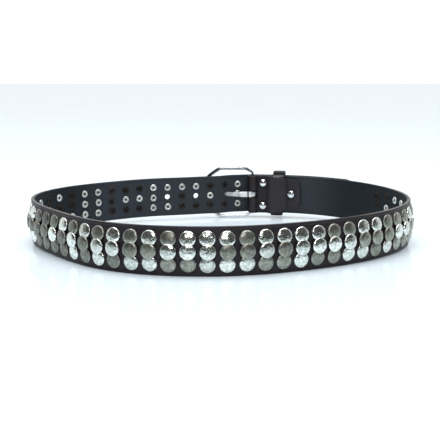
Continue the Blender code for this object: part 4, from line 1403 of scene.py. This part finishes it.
class BELT_OT_studs(bpy.types.Operator):
    """Set three rows of domed studs in two finishes"""

    bl_idname = "belt.studs"
    bl_label = "Studs"

    def execute(self, context):
        size = context.scene.belt_studs
        silver = stud_finish("silver studs", size.silver, *SILVER_STUD)
        gunmetal = stud_finish("gunmetal studs", size.gunmetal, *GUNMETAL_STUD)
        # Painted shade on the gunmetal studs towards the left end
        tint_metal(gunmetal, left_end_painted_shade)
        finishes = (
            ("studs_silver", "S", silver, "polished_steel"),
            ("studs_gunmetal", "G", gunmetal, None),
        )
        names = ("radius", "crown", "shoulder", "wobble", "shift", "dents", "sides")
        shared = {name.title(): getattr(size, name) for name in names}
        tree = stud_tree()
        for name, letter, finish, slot in finishes:
            parts = []
            for row, (row_name, height, base, rim, lean) in enumerate(ROWS):
                seats = [stud_seat(column, height, lean) for column in chart_columns(row, letter)]
                values = {**shared, "Base": base, "Rim": rim, "Seed": size.seed + 10 * row, "Metal": finish}
                parts.append(run_tree(f"{name}_{row_name}", seats_mesh("seats", seats), tree, values))
            finish_piece(name, joined(name, parts), None, smooth_deg=0)
        return {"FINISHED"}


def joined(name, meshes):
    """Several meshes of one finish as one mesh."""
    shape = bmesh.new()
    for mesh in meshes:
        shape.from_mesh(mesh)
    made = bpy.data.meshes.new(name)
    shape.to_mesh(made)
    shape.free()
    made.materials.append(next(slot for slot in meshes[0].materials if slot))
    made.polygons.foreach_set("material_index", [0] * len(made.polygons))
    return made


class BELT_OT_rivet_backs(bpy.types.Operator):
    """Set the rivets' backs on the waist side"""

    bl_idname = "belt.rivet_backs"
    bl_label = "Rivet Backs"

    def execute(self, context):
        size = context.scene.belt_studs
        silver = stud_finish("silver rivets", size.silver, *SILVER_RIVET)
        gunmetal = stud_finish("gunmetal rivets", GUNMETAL_RIVET_FACE, *GUNMETAL_RIVET)
        light_well = well_finish("rivet well, silver", LIGHT_WELL)
        dark_well = well_finish("rivet well, gunmetal", DARK_WELL)
        finishes = (
            ("rivets_silver", "S", silver, "polished_steel", "rivet_wells_light", light_well),
            ("rivets_gunmetal", "G", gunmetal, None, "rivet_wells_dark", dark_well),
        )
        tree, wells = rivet_tree(), well_tree()
        for name, letter, finish, slot, well_name, well_metal in finishes:
            seats = []
            for row, (_, height, _, _, _) in enumerate(ROWS):
                seats += [stud_seat(column, height, 0.0, -1) for column in chart_columns(row, letter)]
            values = {
                "Radius": size.rivet_radius,
                "Well": size.rivet_well,
                "Rise": RIVET_RISE,
                "Wobble": size.wobble,
                "Shift": size.shift,
                "Sides": RIVET_SIDES,
                "Seed": size.seed,
                "Metal": finish,
            }
            rings = run_tree(name, seats_mesh("seats", seats), tree, values)
            finish_piece(name, rings, None, smooth_deg=0)
            middle = (size.rivet_radius + size.rivet_well) / 2
            values.update({"Radius": middle, "Rise": WELL_RISE, "Metal": well_metal})
            finish_piece(well_name, run_tree(well_name, seats_mesh("seats", seats), wells, values), None)
        return {"FINISHED"}


class BELT_OT_buckle(bpy.types.Operator):
    """Build the buckle's frame and its prong"""

    bl_idname = "belt.buckle"
    bl_label = "Buckle"

    def execute(self, context):
        size = context.scene.belt_buckle
        # Painted dark reflections along the rail's edges and painted shade on its slopes
        steel = tint_metal(steel_finish("buckle steel", size.steel, *FRAME_STEEL), rail_painted_reflections, slope_painted_shade)
        values = {"Width": size.rail, "Thickness": size.rail_thickness, "Metal": steel}
        values["Edge Radius"] = RAIL_EDGE_RADIUS
        rail = run_tree("frame_steel", rail_curve(), rail_tree(), values)
        place = buckle_axes()
        place.translation.z = size.height / 2
        rail.transform(place @ Matrix.Rotation(math.pi / 2, 4, "X"))
        point_outwards(rail)
        finish_piece("frame_steel", rail, None, ["buckle_frame"])
        stops = prong_stops(size.prong_width, size.prong_thickness)
        prong = sweep("prong_steel", stops, False, PRONG_EDGE_RADIUS, 0.0)
        # Painted reflection on the prong's thinner stretch, and painted shade in its groove and at its waist
        bright = tint_metal(steel_finish("prong steel", PRONG_COLOUR, *PRONG_STEEL), prong_painted_shade)
        finish_piece("prong_steel", prong, bright, ["prong"])
        return {"FINISHED"}


class BELT_OT_screws(bpy.types.Operator):
    """Set the slotted screws in the tab"""

    bl_idname = "belt.screws"
    bl_label = "Screws"

    def execute(self, context):
        size = context.scene.belt_buckle
        steel = steel_finish("screw steel", size.steel, *SCREW_STEEL)
        tree = screw_tree()
        values = {**SCREW_HEAD, "Sides": SCREW_SIDES, "Seed": SCREW_SEED, "Metal": steel}
        values.update({"Radius": size.screw_radius, "Slot Width": size.screw_slot})
        for name, run, height, turn_deg in SCREW_PLACES:
            axes = strap_axes(run, 0.0) @ Matrix.Translation((0.0, SCREW_HEAD_FACE, height))
            seat = axes @ Matrix.Rotation(math.pi / 2, 4, "X")
            seat = seat @ Matrix.Rotation(math.radians(turn_deg), 4, "Z")
            mesh = run_tree(f"{name}_steel", seats_mesh("seat", [seat]), tree, values)
            finish_piece(f"{name}_steel", mesh, None, [name])
        return {"FINISHED"}


class BELT_OT_stage(bpy.types.Operator):
    """Lay the floor, set the light and place the camera"""

    bl_idname = "belt.stage"
    bl_label = "Stage"

    def execute(self, context):
        stage = context.scene.belt_stage
        add_floor(stage)
        add_world(stage)
        add_softbox("key softbox", *KEY_SOFTBOX, stage.key_power)
        add_softbox("overhead softbox", *OVERHEAD_SOFTBOX, stage.overhead_power)
        lens = bpy.data.cameras.new("camera")
        lens.sensor_width = SENSOR_WIDTH_MM
        lens.lens = FOCAL_LENGTH_PX / PHOTO_WIDTH_PX * SENSOR_WIDTH_MM
        lens.clip_start = 0.01
        camera = new_object("camera", lens)
        camera.location = (POLE.x, POLE.y - stage.camera_distance, stage.camera_height)
        camera.rotation_euler = (math.pi / 2 - stage.camera_pitch, 0.0, 0.0)
        context.scene.camera = camera
        context.scene.view_settings.view_transform = "Standard"
        return {"FINISHED"}


def add_floor(stage):
    """A pale floor that ends just before the camera's view, so that the studs mirror its edge."""
    mesh = bpy.data.meshes.new("floor")
    left, right, back = -FLOOR_HALF, FLOOR_HALF, FLOOR_HALF
    corners = [(left, FLOOR_FRONT, 0.0), (right, FLOOR_FRONT, 0.0), (right, back, 0.0), (left, back, 0.0)]
    mesh.from_pydata(corners, [], [(0, 1, 2, 3)])
    floor = new_object("floor", mesh)
    made, maker, shader, place = new_material("pale glossy floor")
    shader.inputs["Base Color"].default_value = rgba(stage.floor_colour)
    low, high = stage.floor_roughness * 0.9, stage.floor_roughness * 1.1
    maker.feed(shader.inputs["Roughness"], maker.span(maker.noise(place, FLOOR_CLOUDS), 0.3, 0.7, low, high))
    shader.inputs["Specular IOR Level"].default_value = FLOOR_SHINE
    shader.inputs["Emission Color"].default_value = rgba(stage.floor_colour)
    shader.inputs["Emission Strength"].default_value = FLOOR_GLOW
    mesh.materials.append(made)


def add_softbox(name, place, size, power):
    lamp = bpy.data.lights.new(name, "AREA")
    lamp.shape = "RECTANGLE"
    lamp.size, lamp.size_y = size
    lamp.energy = power
    softbox = new_object(name, lamp)
    softbox.location = place
    softbox.rotation_mode = "QUATERNION"
    softbox.rotation_quaternion = (LIT_POINT - Vector(place)).to_track_quat("-Z", "Y")


def add_world(stage):
    """A white backdrop behind the belt, a dark studio in front and a bright ceiling."""
    world = bpy.data.worlds.new("studio")
    bpy.context.scene.world = world
    world.use_nodes = True
    maker = NodeMaker(world.node_tree)
    ahead = maker.add("ShaderNodeTexCoord").outputs["Generated"]
    _, y, z = maker.split(ahead)
    behind = maker.span(y, *BACKDROP_FROM)
    overhead = maker.span(z, *CEILING_FROM)
    light = maker.plus(stage.studio, maker.times(behind, stage.backdrop - stage.studio))
    light = maker.plus(light, maker.times(overhead, maker.minus(stage.ceiling, light)))
    seen = maker.add("ShaderNodeLightPath").outputs["Is Camera Ray"]
    strength = maker.plus(light, maker.times(seen, maker.minus(SEEN_BACKDROP, light)))
    background = world.node_tree.nodes["Background"]
    background.inputs["Color"].default_value = rgba(WORLD_COLOUR)
    maker.feed(background.inputs["Strength"], strength)


OPERATORS = (
    BELT_OT_stage,
    BELT_OT_strap,
    BELT_OT_keeper,
    BELT_OT_studs,
    BELT_OT_rivet_backs,
    BELT_OT_buckle,
    BELT_OT_screws,
)
SETTINGS = (
    ("belt_strap", BeltStrapSettings),
    ("belt_studs", BeltStudSettings),
    ("belt_buckle", BeltBuckleSettings),
    ("belt_stage", BeltStageSettings),
)


class BELT_PT_panel(bpy.types.Panel):
    """Lists the belt's settings and the steps that build it"""

    bl_idname = "BELT_PT_panel"
    bl_label = "Studded Belt"
    bl_space_type = "VIEW_3D"
    bl_region_type = "UI"
    bl_category = "Belt"

    def draw(self, context):
        for operator in OPERATORS:
            self.layout.operator(operator.bl_idname)
        for name, group in SETTINGS:
            box = self.layout.box()
            for field in group.__annotations__:
                box.prop(getattr(context.scene, name), field)


def register():
    for name, group in SETTINGS:
        bpy.utils.register_class(group)
        setattr(bpy.types.Scene, name, bpy.props.PointerProperty(type=group))
    for operator in OPERATORS:
        bpy.utils.register_class(operator)
    bpy.utils.register_class(BELT_PT_panel)


def unregister():
    bpy.utils.unregister_class(BELT_PT_panel)
    for operator in reversed(OPERATORS):
        bpy.utils.unregister_class(operator)
    for name, group in reversed(SETTINGS):
        delattr(bpy.types.Scene, name)
        bpy.utils.unregister_class(group)


def main():
    register()
    for operator in OPERATORS:
        group, step = operator.bl_idname.split(".")
        getattr(getattr(bpy.ops, group), step)()


if __name__ == "__main__":
    main()
